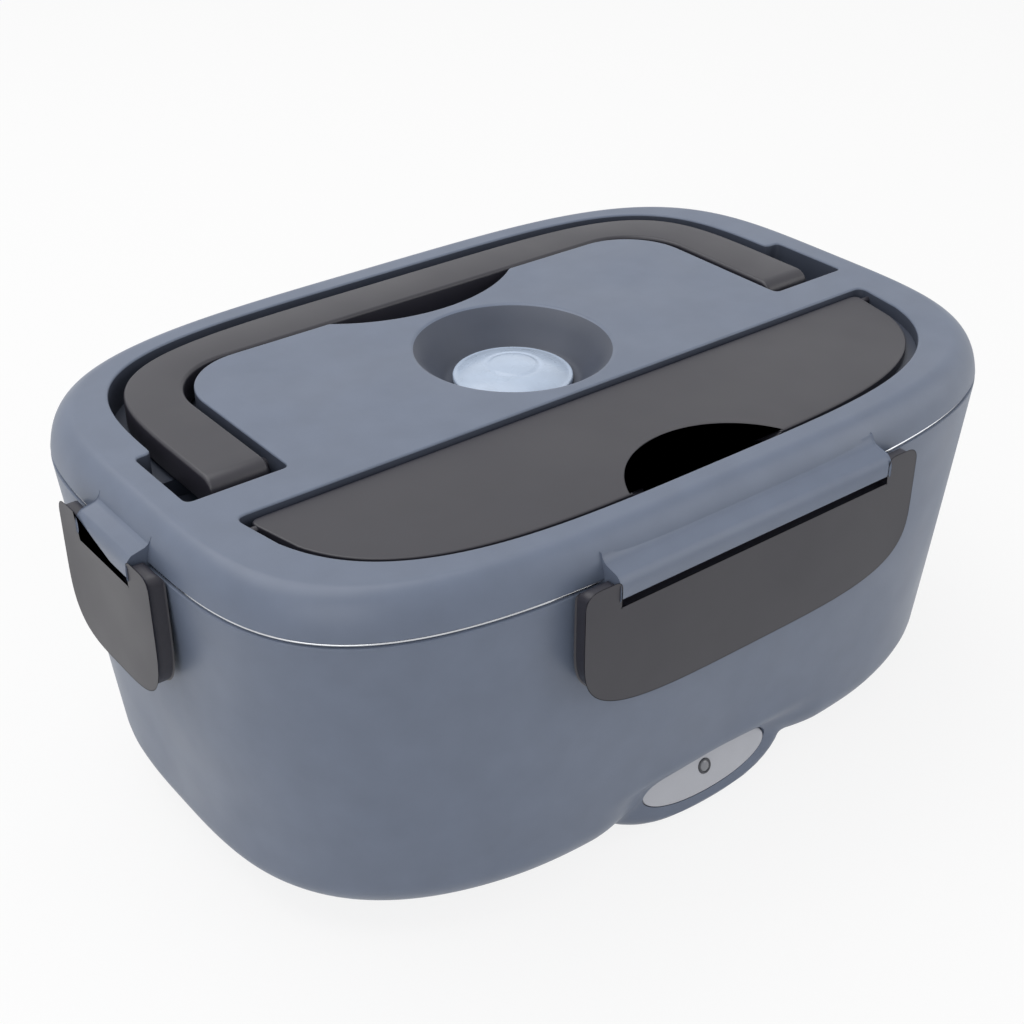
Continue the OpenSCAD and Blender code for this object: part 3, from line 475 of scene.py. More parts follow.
def fade(v, near, far):
    """1 below near, 0 beyond far, and smooth between."""
    s = np.clip((far - v) / (far - near), 0, 1)
    return s * s * (3 - 2 * s)


# The solids' front wall hides the label. Here the outer wall is drawn in around and above
# the label, and the inner wall is thicker behind it, so this skin isn't the solids' there.
HOLLOW, HOLLOW_X, HOLLOW_Z = 1.8, (22, 60), (18, 64)
SCOOP, SCOOP_X, SCOOP_Z = 3.6, (20, 38), (14, 21)
BACKING, BACKING_X, BACKING_Z = 6.0, (23, 34), (17.5, 20.5)
POD_BLEND = 1.6


def skin_ring(z, inset, m=720):
    t = angles(m)
    edge = edge_in(z - FOOT_H - inset, BOTTOM_RISE, BOTTOM_INSET)
    a = HALF_L - END_DRAFT * (RIM_Z - z) - inset - edge
    b = HALF_W - SIDE_DRAFT * (RIM_Z - z) - inset - edge
    r = squircle(a, b, level_n(z), t)
    front = np.maximum(-np.sin(t), 0)
    x = np.abs(r * np.cos(t))
    if inset:
        r = r - front * BACKING * fade(x, *BACKING_X) * fade(z, *BACKING_Z)
    else:
        r = r - front * HOLLOW * fade(x, *HOLLOW_X) * fade(z, *HOLLOW_Z)
        r = r - front * SCOOP * fade(x, *SCOOP_X) * fade(z, *SCOOP_Z)
    r = soft_max(r, bulge(t, z, inset, **POD), POD_BLEND)
    r = soft_max(r, bulge(t, z, inset, **INLET))
    return np.stack([r * np.cos(t), r * np.sin(t) + lean(z), np.full(m, z)], 1)


def skin_levels(inset, top, steps=16, pitch=1.0):
    start = FOOT_H + inset
    edge = [start + BOTTOM_RISE * (1 - math.cos(a))
            for a in np.radians(np.linspace(0, 90, steps + 1))]
    mid = list(np.arange(edge[-1] + pitch, 32, pitch))
    return edge + mid + list(np.linspace(36, top, 12))


def rim_outline(inset, m=720):
    return plan(HALF_L - inset, HALF_W - inset, OUTLINE_N, m)


REBATE_IN, REBATE_D = WALL - 1, 1.2


def base_bmesh():
    edge = 0.35
    rings = [skin_ring(z, 0) for z in skin_levels(0, RIM_Z - edge)]
    for a in np.radians(np.linspace(0, 90, 5))[1:]:
        rings.append(at_z(rim_outline(edge * (1 - math.cos(a))),
                          RIM_Z - edge * (1 - math.sin(a))))
    rings += [at_z(rim_outline(REBATE_IN - 0.15), RIM_Z),
              at_z(rim_outline(REBATE_IN), RIM_Z - 0.15),
              at_z(rim_outline(REBATE_IN), RIM_Z - REBATE_D),
              at_z(rim_outline(WALL), RIM_Z - REBATE_D)]
    rings += [skin_ring(z, WALL) for z in reversed(skin_levels(WALL, RIM_Z - 2, 8, 3.0))]
    return loft(rings)


def frame_matrix(origin, normal, up):
    """Puts local z along the normal and local y as near as can be to up."""
    z = Vector(normal).normalized()
    x = Vector(up).cross(z).normalized()
    y = z.cross(x)
    m = Matrix((x, y, z)).transposed().to_4x4()
    m.translation = Vector(origin)
    return m


TILT = math.radians(POD["tilt"])
ON_POD = frame_matrix((0, -POD["reach"], POD["zc"]), (0, -math.cos(TILT), math.sin(TILT)),
                      (0, 0, 1))
ON_INLET = frame_matrix((0, INLET["reach"], INLET["zc"]), (0, 1, 0), (0, 0, 1))
LABEL_A, LABEL_B, LABEL_N = 20.1, 6.1, 2.05
LABEL_SUNK, LABEL_T, LABEL_GAP = 0.5, 0.8, 0.25
LABEL_CUT = 12
SCREW_X, SCREW_Y = 40, 28
FOOT_X, FOOT_Y, FOOT_R = 54, 26, 7


def add_pillar(bm, outline, z0, z1, matrix):
    start = len(bm.verts)
    add_loft(bm, [at_z(outline, z0), at_z(outline, z1)])
    placed(bm, matrix, start)


def base_cutters():
    bm = bmesh.new()
    circle = lambda r, m=48: plan(r, r, 2, m)
    label = plan(LABEL_A + LABEL_GAP, LABEL_B + LABEL_GAP, LABEL_N, 180)
    add_pillar(bm, label, -LABEL_SUNK - 0.1, LABEL_CUT, ON_POD)
    add_pillar(bm, rounded_box(26.4, 11.4, 3.1), -1.3, 3, ON_INLET)
    for sx in (-1, 1):
        for sy in (-1, 1):
            screw = Matrix.Translation((sx * SCREW_X, sy * SCREW_Y, 0))
            foot = Matrix.Translation((sx * FOOT_X, sy * FOOT_Y, 0))
            start = len(bm.verts)
            add_loft(bm, turned([(3.9, FOOT_H - 1), (3.6, FOOT_H), (3.2, FOOT_H + 0.4),
                                 (3.2, FOOT_H + 2)], m=48))
            placed(bm, screw, start)
            add_pillar(bm, circle(FOOT_R + 0.2), FOOT_H - 1, FOOT_H + 1, foot)
    return bm


def make_base():
    mesh = cut_away("base", base_bmesh(), base_cutters())
    shown("base_body", mesh, "base", BODY, ["base_shell"], 28, MM)


# ---------------------------------------------------------------- pots in the base

def pot_outline(z, inset, z0, round_r, m=480):
    edge = float(edge_in(z - z0, round_r, round_r))
    return plan(HALF_L - inset - END_DRAFT * (RIM_Z - z) - edge,
                HALF_W - inset - SIDE_DRAFT * (RIM_Z - z) - edge, level_n(z), m)


def pot_rings(inset, z0, round_r, top, steps=10):
    levels = [z0 + round_r * (1 - math.cos(a))
              for a in np.radians(np.linspace(0, 90, steps + 1))]
    levels += list(np.linspace(levels[-1], top, 8))[1:]
    return [at_z(pot_outline(z, inset, z0, round_r) + [0, lean(z)], z) for z in levels]


def roll(centre_in, z, r, start, end, steps=10):
    """Rings of a rolled rim around the outline, by the angle round its wire."""
    return [at_z(rim_outline(centre_in - r * math.cos(a), m=480), z + r * math.sin(a))
            for a in np.radians(np.linspace(start, end, steps + 1))]


POT_IN, POT_T, POT_Z, POT_ROUND = 6.5, 0.8, 20.9, 8
ROLL_R = (POT_RIM_Z - RIM_Z) / 2


def make_container():
    """Drawn steel pan with a rolled rim that shows between lid and base."""
    inside = pot_rings(POT_IN + POT_T, POT_Z + POT_T, POT_ROUND, RIM_Z - 2)
    outside = pot_rings(POT_IN, POT_Z, POT_ROUND, RIM_Z - 2)
    turn = 2.0
    bend_in = [at_z(rim_outline(POT_IN + POT_T - turn * (1 - math.cos(a)), m=480),
                    POT_RIM_Z - turn * (1 - math.sin(a)))
               for a in np.radians(np.linspace(0, 90, 7))]
    rings = outside + [at_z(rim_outline(POT_IN, m=480), RIM_Z)]
    rings += roll(0.5 + ROLL_R, RIM_Z + ROLL_R, ROLL_R, -90, 90)
    rings += bend_in[::-1] + inside[::-1]
    finished("steel_pan", loft(rings), "container", STEEL, ["steel_container"])


LINER_IN, LINER_T, LINER_Z = 4.4, 1.5, 17.6


def make_liner():
    rings = pot_rings(LINER_IN, LINER_Z, POT_ROUND, RIM_Z - REBATE_D)
    flange = REBATE_IN + 0.2
    rings += [at_z(rim_outline(flange, m=480), RIM_Z - REBATE_D),
              at_z(rim_outline(flange, m=480), RIM_Z - 0.2),
              at_z(rim_outline(flange + 0.2, m=480), RIM_Z - 0.02),
              at_z(rim_outline(LINER_IN + LINER_T - 0.5, m=480), RIM_Z - 0.02),
              at_z(rim_outline(LINER_IN + LINER_T, m=480), RIM_Z - 0.5)]
    rings += pot_rings(LINER_IN + LINER_T, LINER_Z + LINER_T, POT_ROUND,
                       RIM_Z - 1.5)[::-1]
    window = bmesh.new()
    add_pillar(window, rounded_box(70, 40, 6), LINER_Z - 1, LINER_Z + 4, Matrix())
    for x in (-67, 67):
        add_pillar(window, plan(1.3, 1.3, 2, 32), LINER_Z - 1, LINER_Z + 4,
                   Matrix.Translation((x, 0, 0)))
    mesh = cut_away("liner", loft(rings), window)
    shown("liner_well", mesh, "base", PALE, ["inner_liner"], 28, MM)


TRAY_L, TRAY_W, TRAY_X, TRAY_N = 60, 104, 63, 3.5
TRAY_LIP, TRAY_T, TRAY_DRAFT = 1.6, 1.6, 0.05


def make_tray():
    low, high = node_box("side_tray")
    z0, z1 = low[2], high[2]

    def ring(z, grow):
        g = grow - TRAY_DRAFT * (z1 - z)
        return at_z(plan(TRAY_L / 2 + g, TRAY_W / 2 + g, TRAY_N, 300)
                    + [TRAY_X, lean(z) / 2], z)

    def wall(grow, z, top, steps=8, r=5.0):
        rings = [ring(z + r * (1 - math.cos(a)), grow - r * (1 - math.sin(a)))
                 for a in np.radians(np.linspace(0, 90, steps + 1))]
        return rings + [ring(v, grow) for v in np.linspace(z + r, top, 5)[1:]]

    lip = [ring(z1 - 2, TRAY_LIP - 0.2), ring(z1 - 1.8, TRAY_LIP)]
    lip += [ring(z1 - 0.5 + 0.5 * math.sin(a), TRAY_LIP - 0.5 + 0.5 * math.cos(a))
            for a in np.radians(np.linspace(0, 90, 5))]
    lip += [ring(z1 - 0.4 + 0.4 * math.sin(a), -TRAY_T + 0.4 - 0.4 * math.cos(a))
            for a in np.radians(np.linspace(90, 0, 5))]
    rings = wall(0, z0, z1 - 2.02) + lip + wall(-TRAY_T, z0 + TRAY_T, z1 - 0.6)[::-1]
    finished("side_dish", loft(rings), "tray", TRAY, ["side_tray"])


# ---------------------------------------------------------------- lid shell

CHANNEL = (HALF_L - 15.5, HALF_W - 10.4, 4.4)
ISLAND_X, ISLAND_Y, ISLAND_R = 75, 46.3, 18
POCKET_FRONT, POCKET_BACK = -9.8, 14
POCKET_X = CHANNEL[0] + 4.3
NOTCH_W, NOTCH_D = 58, 9.9
HANDLE_LOW, HANDLE_HIGH = node_box("carry_handle")
CHANNEL_Z = HANDLE_LOW[2] - 1.2
POCKET_Z = HANDLE_HIGH[2] - 13.2

COMP = (HALF_L - 15.6, HALF_W - 10.3, 3.7)
COMP_BACK = -21.2
COMP_Z = TOP - 13.5
COVER_LOW, COVER_HIGH = node_box("cutlery_cover")
LEDGE_Z = COVER_LOW[2] - 0.1
LEDGE_W = 3

VENT_Y, VENT_R, VENT_FLOOR_R, VENT_Z = 7.5, 24.7, 17, TOP - 9.3
STEM_R = 5.6


def lid_outline(z, inset=0.0, m=720):
    h = max(0.0, (z - TOP + EDGE_RISE) / EDGE_RISE)
    edge = EDGE_INSET * (1 - math.sqrt(max(0.0, 1 - h * h)))
    return plan(HALF_L - edge - inset, HALF_W - edge - inset, OUTLINE_N, m)


def notch_arc(half, depth, y, steps=36):
    """Arc that dips by depth below y, from +half to -half."""
    r = (half**2 + depth**2) / (2 * depth)
    a = math.degrees(math.asin(half / r))
    return arc((0, y + r - depth), r, 270 + a, 270 - a, steps)


def channel_outline():
    a, b, n = CHANNEL
    y0 = POCKET_BACK + 3.5
    x0 = curve_x(a, b, n, y0)
    t0 = math.atan2(y0, x0)
    t = np.linspace(t0, math.pi - t0, 241)
    r = squircle(a, b, n, t)
    back = np.stack([r * np.cos(t), r * np.sin(t)], 1)
    xs = curve_x(a, b, n, POCKET_BACK)
    right = [(POCKET_X, POCKET_FRONT), (POCKET_X, POCKET_BACK), (xs, POCKET_BACK)]
    left = [(-xs, POCKET_BACK), (-POCKET_X, POCKET_BACK), (-POCKET_X, POCKET_FRONT),
            (-ISLAND_X, POCKET_FRONT)]
    cx, cy = ISLAND_X - ISLAND_R, ISLAND_Y - ISLAND_R
    island = [arc((-cx, cy), ISLAND_R, 180, 90, 20),
              notch_arc(NOTCH_W / 2, NOTCH_D, ISLAND_Y)[::-1],
              arc((cx, cy), ISLAND_R, 90, 0, 20)]
    pts = np.vstack([right, back, left, *island, [(ISLAND_X, POCKET_FRONT)]])
    return soften(pts, 1.8)


def comp_outline(ledge=0.0, m=200):
    """Opening of the cutlery compartment, drawn in by the ledge that carries the cover."""
    a, b, n = COMP
    t0 = math.asin(-COMP_BACK / b) + 0.03
    t = np.linspace(math.pi + t0, 2 * math.pi - t0, m)
    r = squircle(a, b, n, t)
    front = np.stack([r * np.cos(t), r * np.sin(t)], 1)
    xs = curve_x(a, b, n, COMP_BACK)
    pts = soften(np.vstack([[(xs, COMP_BACK), (-xs, COMP_BACK)], front]), 2.5, 25)
    if not ledge:
        return pts
    share = np.clip((COMP_BACK - 7 - pts[:, 1]) / 4, 0, 1)[:, None]
    return pts + (grown(pts, -ledge) - pts) * share


def vent_rings():
    slope = (VENT_R - VENT_FLOOR_R) / (TOP - VENT_Z)
    lip = 0.8
    profile = [(VENT_R + lip + GUARD, TOP), (VENT_R + lip, TOP),
               (VENT_R + lip * 0.45, TOP - 0.1), (VENT_R + 0.05, TOP - 0.38),
               (VENT_R - slope * 0.9, TOP - 0.9), (VENT_R - slope * 4, TOP - 4),
               (VENT_FLOOR_R + slope * 0.9, VENT_Z + 0.9),
               (VENT_FLOOR_R + 0.1, VENT_Z + 0.3), (VENT_FLOOR_R - 0.6, VENT_Z),
               (STEM_R + 0.5, VENT_Z), (STEM_R + 0.4, VENT_Z - 0.1),
               (STEM_R + 0.4, VENT_Z - 1.4)]
    return turned(profile, (0, VENT_Y), 160)


def lid_bmesh():
    bm = bmesh.new()
    inner = [at_z(plan(HALF_L - LID_WALL - d, HALF_W - LID_WALL - d, OUTLINE_N, 720), z)
             for d, z in ((2.8, TOP - LID_WALL), (0.3, SKIRT_Z + 2), (0, SKIRT_Z + 0.2),
                          (-0.2, SKIRT_Z))]
    edge = 0.3
    skirt = [at_z(lid_outline(SKIRT_Z, edge * (1 - math.sin(a))),
                  SKIRT_Z + edge * (1 - math.cos(a))) for a in np.radians([0, 45, 90])]
    start = math.asin((SKIRT_Z + edge - TOP + EDGE_RISE) / EDGE_RISE)
    for a in np.linspace(start, math.pi / 2, 20)[1:]:
        z = TOP - EDGE_RISE * (1 - math.sin(a))
        skirt.append(at_z(lid_outline(z), z))
    skirt.append(at_z(lid_outline(TOP, GUARD), TOP))
    deck = [add_loft(bm, inner + skirt, False, False)[-1]]

    hole = channel_outline()
    rings = lip_rings(hole, TOP) + floor_rings(hole, POCKET_Z)
    deck.append(add_loft(bm, rings, False, True)[0])

    upper, lower = comp_outline(), comp_outline(LEDGE_W)
    rings = lip_rings(upper, TOP) + [at_z(upper, LEDGE_Z), at_z(lower, LEDGE_Z)]
    rings += floor_rings(lower, COMP_Z)
    deck.append(add_loft(bm, rings, False, True)[0])

    deck.append(add_loft(bm, vent_rings(), False, False)[0])
    add_deck(bm, deck)
    add_channel_floor(bm)
    return bm


def add_channel_floor(bm):
    """Floor of the shallow part of the channel, with the step down to the arm pockets."""
    a, b, n = CHANNEL
    t0 = math.atan2(POCKET_BACK, curve_x(a, b, n, POCKET_BACK))
    t = np.linspace(t0, math.pi - t0, 181)
    r = squircle(a + 0.5, b + 0.5, n, t)
    outer = np.stack([r * np.cos(t), r * np.sin(t)], 1)
    cx, cy = ISLAND_X - ISLAND_R, ISLAND_Y - ISLAND_R
    inner = np.vstack([[(-ISLAND_X + 0.5, POCKET_BACK)],
                       arc((-cx, cy), ISLAND_R - 0.5, 180, 90, 20),
                       notch_arc(NOTCH_W / 2, NOTCH_D + 0.5, ISLAND_Y - 0.2)[::-1],
                       arc((cx, cy), ISLAND_R - 0.5, 90, 0, 20),
                       [(ISLAND_X - 0.5, POCKET_BACK)]])
    outline = np.vstack([outer, inner])
    bm.faces.new(add_ring(bm, at_z(outline, CHANNEL_Z)))
    for side in (-1, 1):
        x = [side * (ISLAND_X - 0.5), side * (CHANNEL[0] + 0.5)]
        corners = [(x[0], POCKET_Z), (x[1], POCKET_Z), (x[1], CHANNEL_Z), (x[0], CHANNEL_Z)]
        bm.faces.new([bm.verts.new((u, POCKET_BACK, v)) for u, v in corners])


SIDES = {"front": (0, HALF_W, 98), "back": (180, HALF_W, 98),
         "left": (-90, HALF_L, 40), "right": (90, HALF_L, 40)}
EAR_W, EAR_GAP = 7.8, 0.4
FACE_OUT = LATCH_OUT - HINGE_OUT


def side_matrix(name):
    """Local x runs along the side, y points inwards and z up, from the hinge axis."""
    turn, half, _ = SIDES[name]
    return (Matrix.Rotation(math.radians(turn), 4, "Z")
            @ Matrix.Translation((0, -half - HINGE_OUT, HINGE_Z)))


def ledge_profile():
    """Bullnose that the latch hangs from, with a hollow root on the lid's edge."""
    r = 2.1
    low = [(-r - 2.2, -0.4), (-r, -0.4), (-r, -r + 0.3), (-r + 0.3, -r)]
    nose = list(arc((FACE_OUT - 0.7, -r + 0.7), 0.7, -90, 0, 4))
    nose += list(arc((FACE_OUT - 3.3, 0.5), 3.3, 0, 58, 9))
    hollow = [(p[0] - 1.9, p[1]) for p in arc((0.75, 7.0), 3.2, 247, 196, 7)]
    return np.array(low + nose + hollow + [(-4.4, 6.2)])


def make_ledge(name):
    _, _, w = SIDES[name]
    half = w / 2 - EAR_W - EAR_GAP
    profile = ledge_profile()
    bm = bmesh.new()
    edge = 0.35
    stations = []
    for side in (-1, 1):
        for a in (0, 30, 60, 90)[::side]:
            a = math.radians(a)
            stations.append((side * (half - edge * (1 - math.sin(a))),
                             edge * (1 - math.cos(a))))
    rings = []
    for x, shrink in sorted(stations):
        inner = grown(profile, shrink)
        rings.append(np.column_stack([np.full(len(inner), x), -inner[:, 0], inner[:, 1]]))
    add_loft(bm, rings)
    placed(bm, side_matrix(name))
    finished(f"ledge_{name}", bm, "lid", BODY, sharp=40)


def paint_recess_shade(obj):
    """Paints shade on the walls and floors below the lid's deck: they get a darker copy of
    the body plastic.
    """
    obj.data.materials.append(PAINTED_SHADE_BODY)
    for face in obj.data.polygons:
        x, y, z = face.center / MM
        inside = (abs(x) / (HALF_L - 7.5))**OUTLINE_N + (abs(y) / (HALF_W - 7.5))**OUTLINE_N
        if inside < 1 and z < TOP - 0.45:
            face.material_index = 1


def make_lid():
    paint_recess_shade(finished("lid_body", lid_bmesh(), "lid", BODY, ["lid_shell"], 30))
    for name in SIDES:
        make_ledge(name)


def make_inner_lid():
    low, high = node_box("inner_lid")
    z0, z1 = low[2], high[2]
    rim, flange, t = 8.0, 4.2, 1.2
    outline = lambda inset: rim_outline(inset, m=480)
    rings = [at_z(outline(rim + 1.5), z0)]
    rings += [at_z(outline(rim + 0.8 - 0.8 * math.sin(a)), z0 + 0.8 - 0.8 * math.cos(a))
              for a in np.radians(np.linspace(0, 90, 6))]
    rings += [at_z(outline(rim), z1 - t - 0.4), at_z(outline(rim - 0.4), z1 - t),
              at_z(outline(flange), z1 - t), at_z(outline(flange), z1 - 0.1)]
    bm = bmesh.new()
    made = add_loft(bm, rings, False, False)
    hole = [at_z(plan(STEM_R + r, STEM_R + r, 2, 96) + [0, VENT_Y], z)
            for r, z in ((2.2, z0), (1.7, z0 + 0.15), (1.4, z0 + 0.5), (1.4, z0 + 1.6))]
    vent = add_loft(bm, hole, False, False)
    add_deck(bm, [made[0], vent[0]])
    finished("inner_lid_panel", bm, "lid", TRAY, ["inner_lid"])


def make_seal():
    low, high = node_box("lid_seal")
    z0, z1 = low[2], high[2]
    outer, w = LID_WALL + 0.4, 3.8
    outline = lambda inset: rim_outline(inset, m=480)
    rings = [at_z(outline(outer + w / 2 - w / 2 * math.cos(a)),
                  (z0 + z1) / 2 + (z1 - z0) / 2 * math.sin(a))
             for a in np.radians(np.linspace(0, 360, 24, endpoint=False))]
    bm = loft(rings + rings[:1], cap_start=False, cap_end=False)
    finished("seal_ring", bm, "lid", SEAL, ["lid_seal"])


# ---------------------------------------------------------------- moving pieces

HANDLE_A = CHANNEL[0] - 3.8
HANDLE_B = CHANNEL[1] - 3.8
HANDLE_N = CHANNEL[2] + 0.4
GRIP_X, GRIP_Y = ISLAND_X + 2.2, ISLAND_Y + 0.9
PIVOT_Y, PIVOT_Z = 1.0, HANDLE_LOW[2] + 2.6
ARM_END = HANDLE_LOW[1]
ARM_ROUND = 4


def out_to_curve(start, direction, a, b, n):
    """Distance along a ray until it leaves a squared ellipse."""
    low, high = 0.0, 60.0
    for _ in range(40):
        mid = (low + high) / 2
        x, y = start + direction * mid
        inside = abs(x / a) ** n + abs(y / b) ** n < 1
        low, high = (mid, high) if inside else (low, mid)
    return low


def handle_stations():
    """Inner points and outward directions along the handle, from left arm end to right."""
    cx, cy = GRIP_X - ISLAND_R, GRIP_Y - ISLAND_R
    end = [ARM_END + ARM_ROUND * (1 - math.cos(a))
           for a in np.radians(np.linspace(0, 90, 9))]
    arm = end + list(np.linspace(end[-1], cy, 9))[1:]
    left = [((-GRIP_X, y), (-1, 0)) for y in arm]
    left += [(tuple(arc((-cx, cy), ISLAND_R, a, a, 0)[0]),
              (math.cos(math.radians(a)), math.sin(math.radians(a))))
             for a in np.linspace(180, 90, 31)[1:]]
    mid = [((x, GRIP_Y), (0, 1)) for x in np.linspace(-cx, cx, 41)[1:-1]]
    right = [((-p[0], p[1]), (-d[0], d[1])) for p, d in reversed(left)]
    return left + mid + right


def handle_ring(point, direction):
    p, d = np.array(point, float), np.array(direction, float)
    width = out_to_curve(p, d, HANDLE_A, HANDLE_B, HANDLE_N)
    from_end = p[1] - ARM_END if abs(d[0]) == 1 else ARM_ROUND
    h = max(0.0, 1 - from_end / ARM_ROUND)
    top = HANDLE_HIGH[2] - ARM_ROUND * (1 - math.sqrt(1 - h * h)) * 0.9
    soft = 0.9
    s = soft * (1 - math.sqrt(1 - max(0.0, 1 - from_end / soft) ** 2)) * 0.8
    low, r, q = HANDLE_LOW[2], 1.0, 0.6
    r = min(r, (top - low) / 2)
    section = (corner((s + r, top - r), r, 180, 90) +
               corner((width - s - r, top - r), r, 90, 0) +
               corner((width - s - q, low + q), q, 0, -90) +
               corner((s + q, low + q), q, -90, -180))
    return np.array([[*(p + d * u), z] for u, z in section])


def add_stub(bm, x0, x1, y, z, r):
    """A short pin along X with a small chamfer at its outer end."""
    t = angles(32)
    side = 1 if x1 > x0 else -1
    rings = []
    for x, f in ((x0, 1), (x1 - side * 0.25, 1), (x1, 0.8)):
        rings.append(np.column_stack([np.full(32, x), y + r * f * np.cos(t),
                                      z + r * f * np.sin(t)]))
    add_loft(bm, rings)


def make_handle():
    bm = loft([handle_ring(p, d) for p, d in handle_stations()])
    for side in (-1, 1):
        add_stub(bm, side * (GRIP_X + 0.5), side * (ISLAND_X - 1.9), PIVOT_Y, PIVOT_Z, 2)
    finished("handle_grip", bm, "handle", TRIM, ["carry_handle"], 38)


COVER_GAP, COVER_BACK = 2.4, -22.0
FINGER_W, FINGER_D, FINGER_BEVEL = 45, 14.7, 3.2
COVER_AXIS = (-24.5, TOP - 2.5)


def cover_outline(grow=0.0, m=110):
    """Cover seen from above. grow widens its finger notch."""
    a, b, n = COMP[0] - COVER_GAP, COMP[1] - COVER_GAP, COMP[2]
    r0 = ((FINGER_W / 2) ** 2 + FINGER_D**2) / (2 * FINGER_D)
    cy, r = -b + FINGER_D - r0, r0 - FINGER_BEVEL + grow
    low, high = 0.0, r
    for _ in range(40):
        x = (low + high) / 2
        inside = math.hypot(x, -curve_y(a, b, n, x) - cy) < r
        low, high = (x, high) if inside else (low, x)
    x_n = low
    y_n = -curve_y(a, b, n, x_n)
    t0 = math.asin(-COVER_BACK / b) + 0.03
    t1 = math.atan2(-y_n, x_n)
    t = math.pi + t0 + (t1 - t0) * np.sin(np.linspace(0, math.pi / 2, m)) ** 1.0
    s = squircle(a, b, n, t)
    left = np.stack([s * np.cos(t), s * np.sin(t)], 1)
    right = left[::-1] * [-1, 1]
    a_n = math.degrees(math.atan2(y_n - cy, x_n))
    finger = arc((0, cy), r, 180 - a_n, a_n, 40)[1:-1]
    xs = curve_x(a, b, n, COVER_BACK)
    pts = np.vstack([[(xs, COVER_BACK), (-xs, COVER_BACK)], left, finger, right])
    tips = soften(pts, [2.3, 2.3, 0.6, 0.6], 25)
    return tips


def make_cover():
    z0, z1 = COVER_LOW[2], COVER_HIGH[2]
    low, high = cover_outline(0), cover_outline(FINGER_BEVEL)
    edge = 0.4
    rings = [at_z(grown(low, -0.7), z0), at_z(grown(low, -0.3), z0),
             at_z(grown(low, -0.08), z0 + 0.1), at_z(low, z0 + 0.3), at_z(low, z0 + 0.6)]
    for a in np.radians(np.linspace(0, 90, 5)):
        f = 1 - math.cos(a) if a else 0
        rings.append(at_z(grown(high, -edge * f), z1 - edge * (1 - math.sin(a))))
    rings.append(at_z(grown(high, -edge - GUARD), z1))
    bm = loft(rings)
    y, z = COVER_AXIS
    for side in (-1, 1):
        add_stub(bm, side * (COMP[0] - 4.5), side * (COMP[0] + 0.7), y, z, 0.9)
    finished("cover_panel", bm, "cover", TRIM, ["cutlery_cover"], 34)


def make_plug():
    low, high = node_box("vent_plug")
    z, top = VENT_Z + 0.3, high[2]
    skirt = z + 1.5
    r = 15.1
    profile = [(STEM_R - 1.6, low[2] + 0.4), (STEM_R - 1.2, low[2]), (STEM_R - 0.4, low[2]),
               (STEM_R, low[2] + 0.4), (STEM_R, z)]
    profile += [(r - 0.3, z)] + corner((r - 0.3, z + 0.3), 0.3, -90, 0, 3)
    profile += corner((r - 0.45, skirt - 0.45), 0.45, 0, 90, 4)
    profile += [(r - 0.9, skirt + 0.02)]
    ball = ((r - 1)**2 + (top - skirt)**2) / (2 * (top - skirt))
    for f in np.linspace(0.985, 0.03, 28):
        x = (r - 1) * f
        h = top - ball + math.sqrt(ball**2 - x * x)
        groove = 0.35 * math.exp(-((x - 6.6) / 0.35) ** 2)
        profile.append((x, h - groove))
    bm = loft(turned(profile, (0, VENT_Y), 128), cap_start=False)
    finished("vent_cap", bm, "plug", PLUG, ["vent_plug"], 50)


LATCH_TOP, LATCH_REACH, LATCH_SIDE = 4.6, 29.4, 10
EAR_TOP, FLAP_BACK = 1.9, 2.0


def latch_outline(w):
    """Latch seen from outside, round its hinge axis: a flap with an ear at each end."""
    x, ear = w / 2, w / 2 - EAR_W
    d = LATCH_REACH - LATCH_SIDE
    a = np.radians(np.arange(0, 91, 3))
    right = np.stack([x * np.cos(a) ** (2 / OUTLINE_N),
                      -LATCH_SIDE - d * np.sin(a) ** (2 / OUTLINE_N)], 1)
    left = right[::-1][1:] * [-1, 1]
    top = [(-x, EAR_TOP), (-ear, EAR_TOP), (-ear, -LATCH_TOP), (ear, -LATCH_TOP),
           (ear, EAR_TOP), (x, EAR_TOP)]
    pts = np.vstack([right, left, top])[::-1]
    return soften(pts, [2.6, 1.1, 0.6, 0.6, 1.1, 2.6][::-1], 40)[::-1]


def latch_ring(outline, depth):
    """Outline at a depth behind the hinge axis. The ears' backs stay round it."""
    y = np.full(len(outline), float(depth))
    z = outline[:, 1].copy()
    far = np.hypot(y, z)
    behind = (y > 0) & (z > 0) & (far > FLAP_BACK)
    y[behind] *= FLAP_BACK / far[behind]
    z[behind] *= FLAP_BACK / far[behind]
    return np.column_stack([outline[:, 0], y, z])


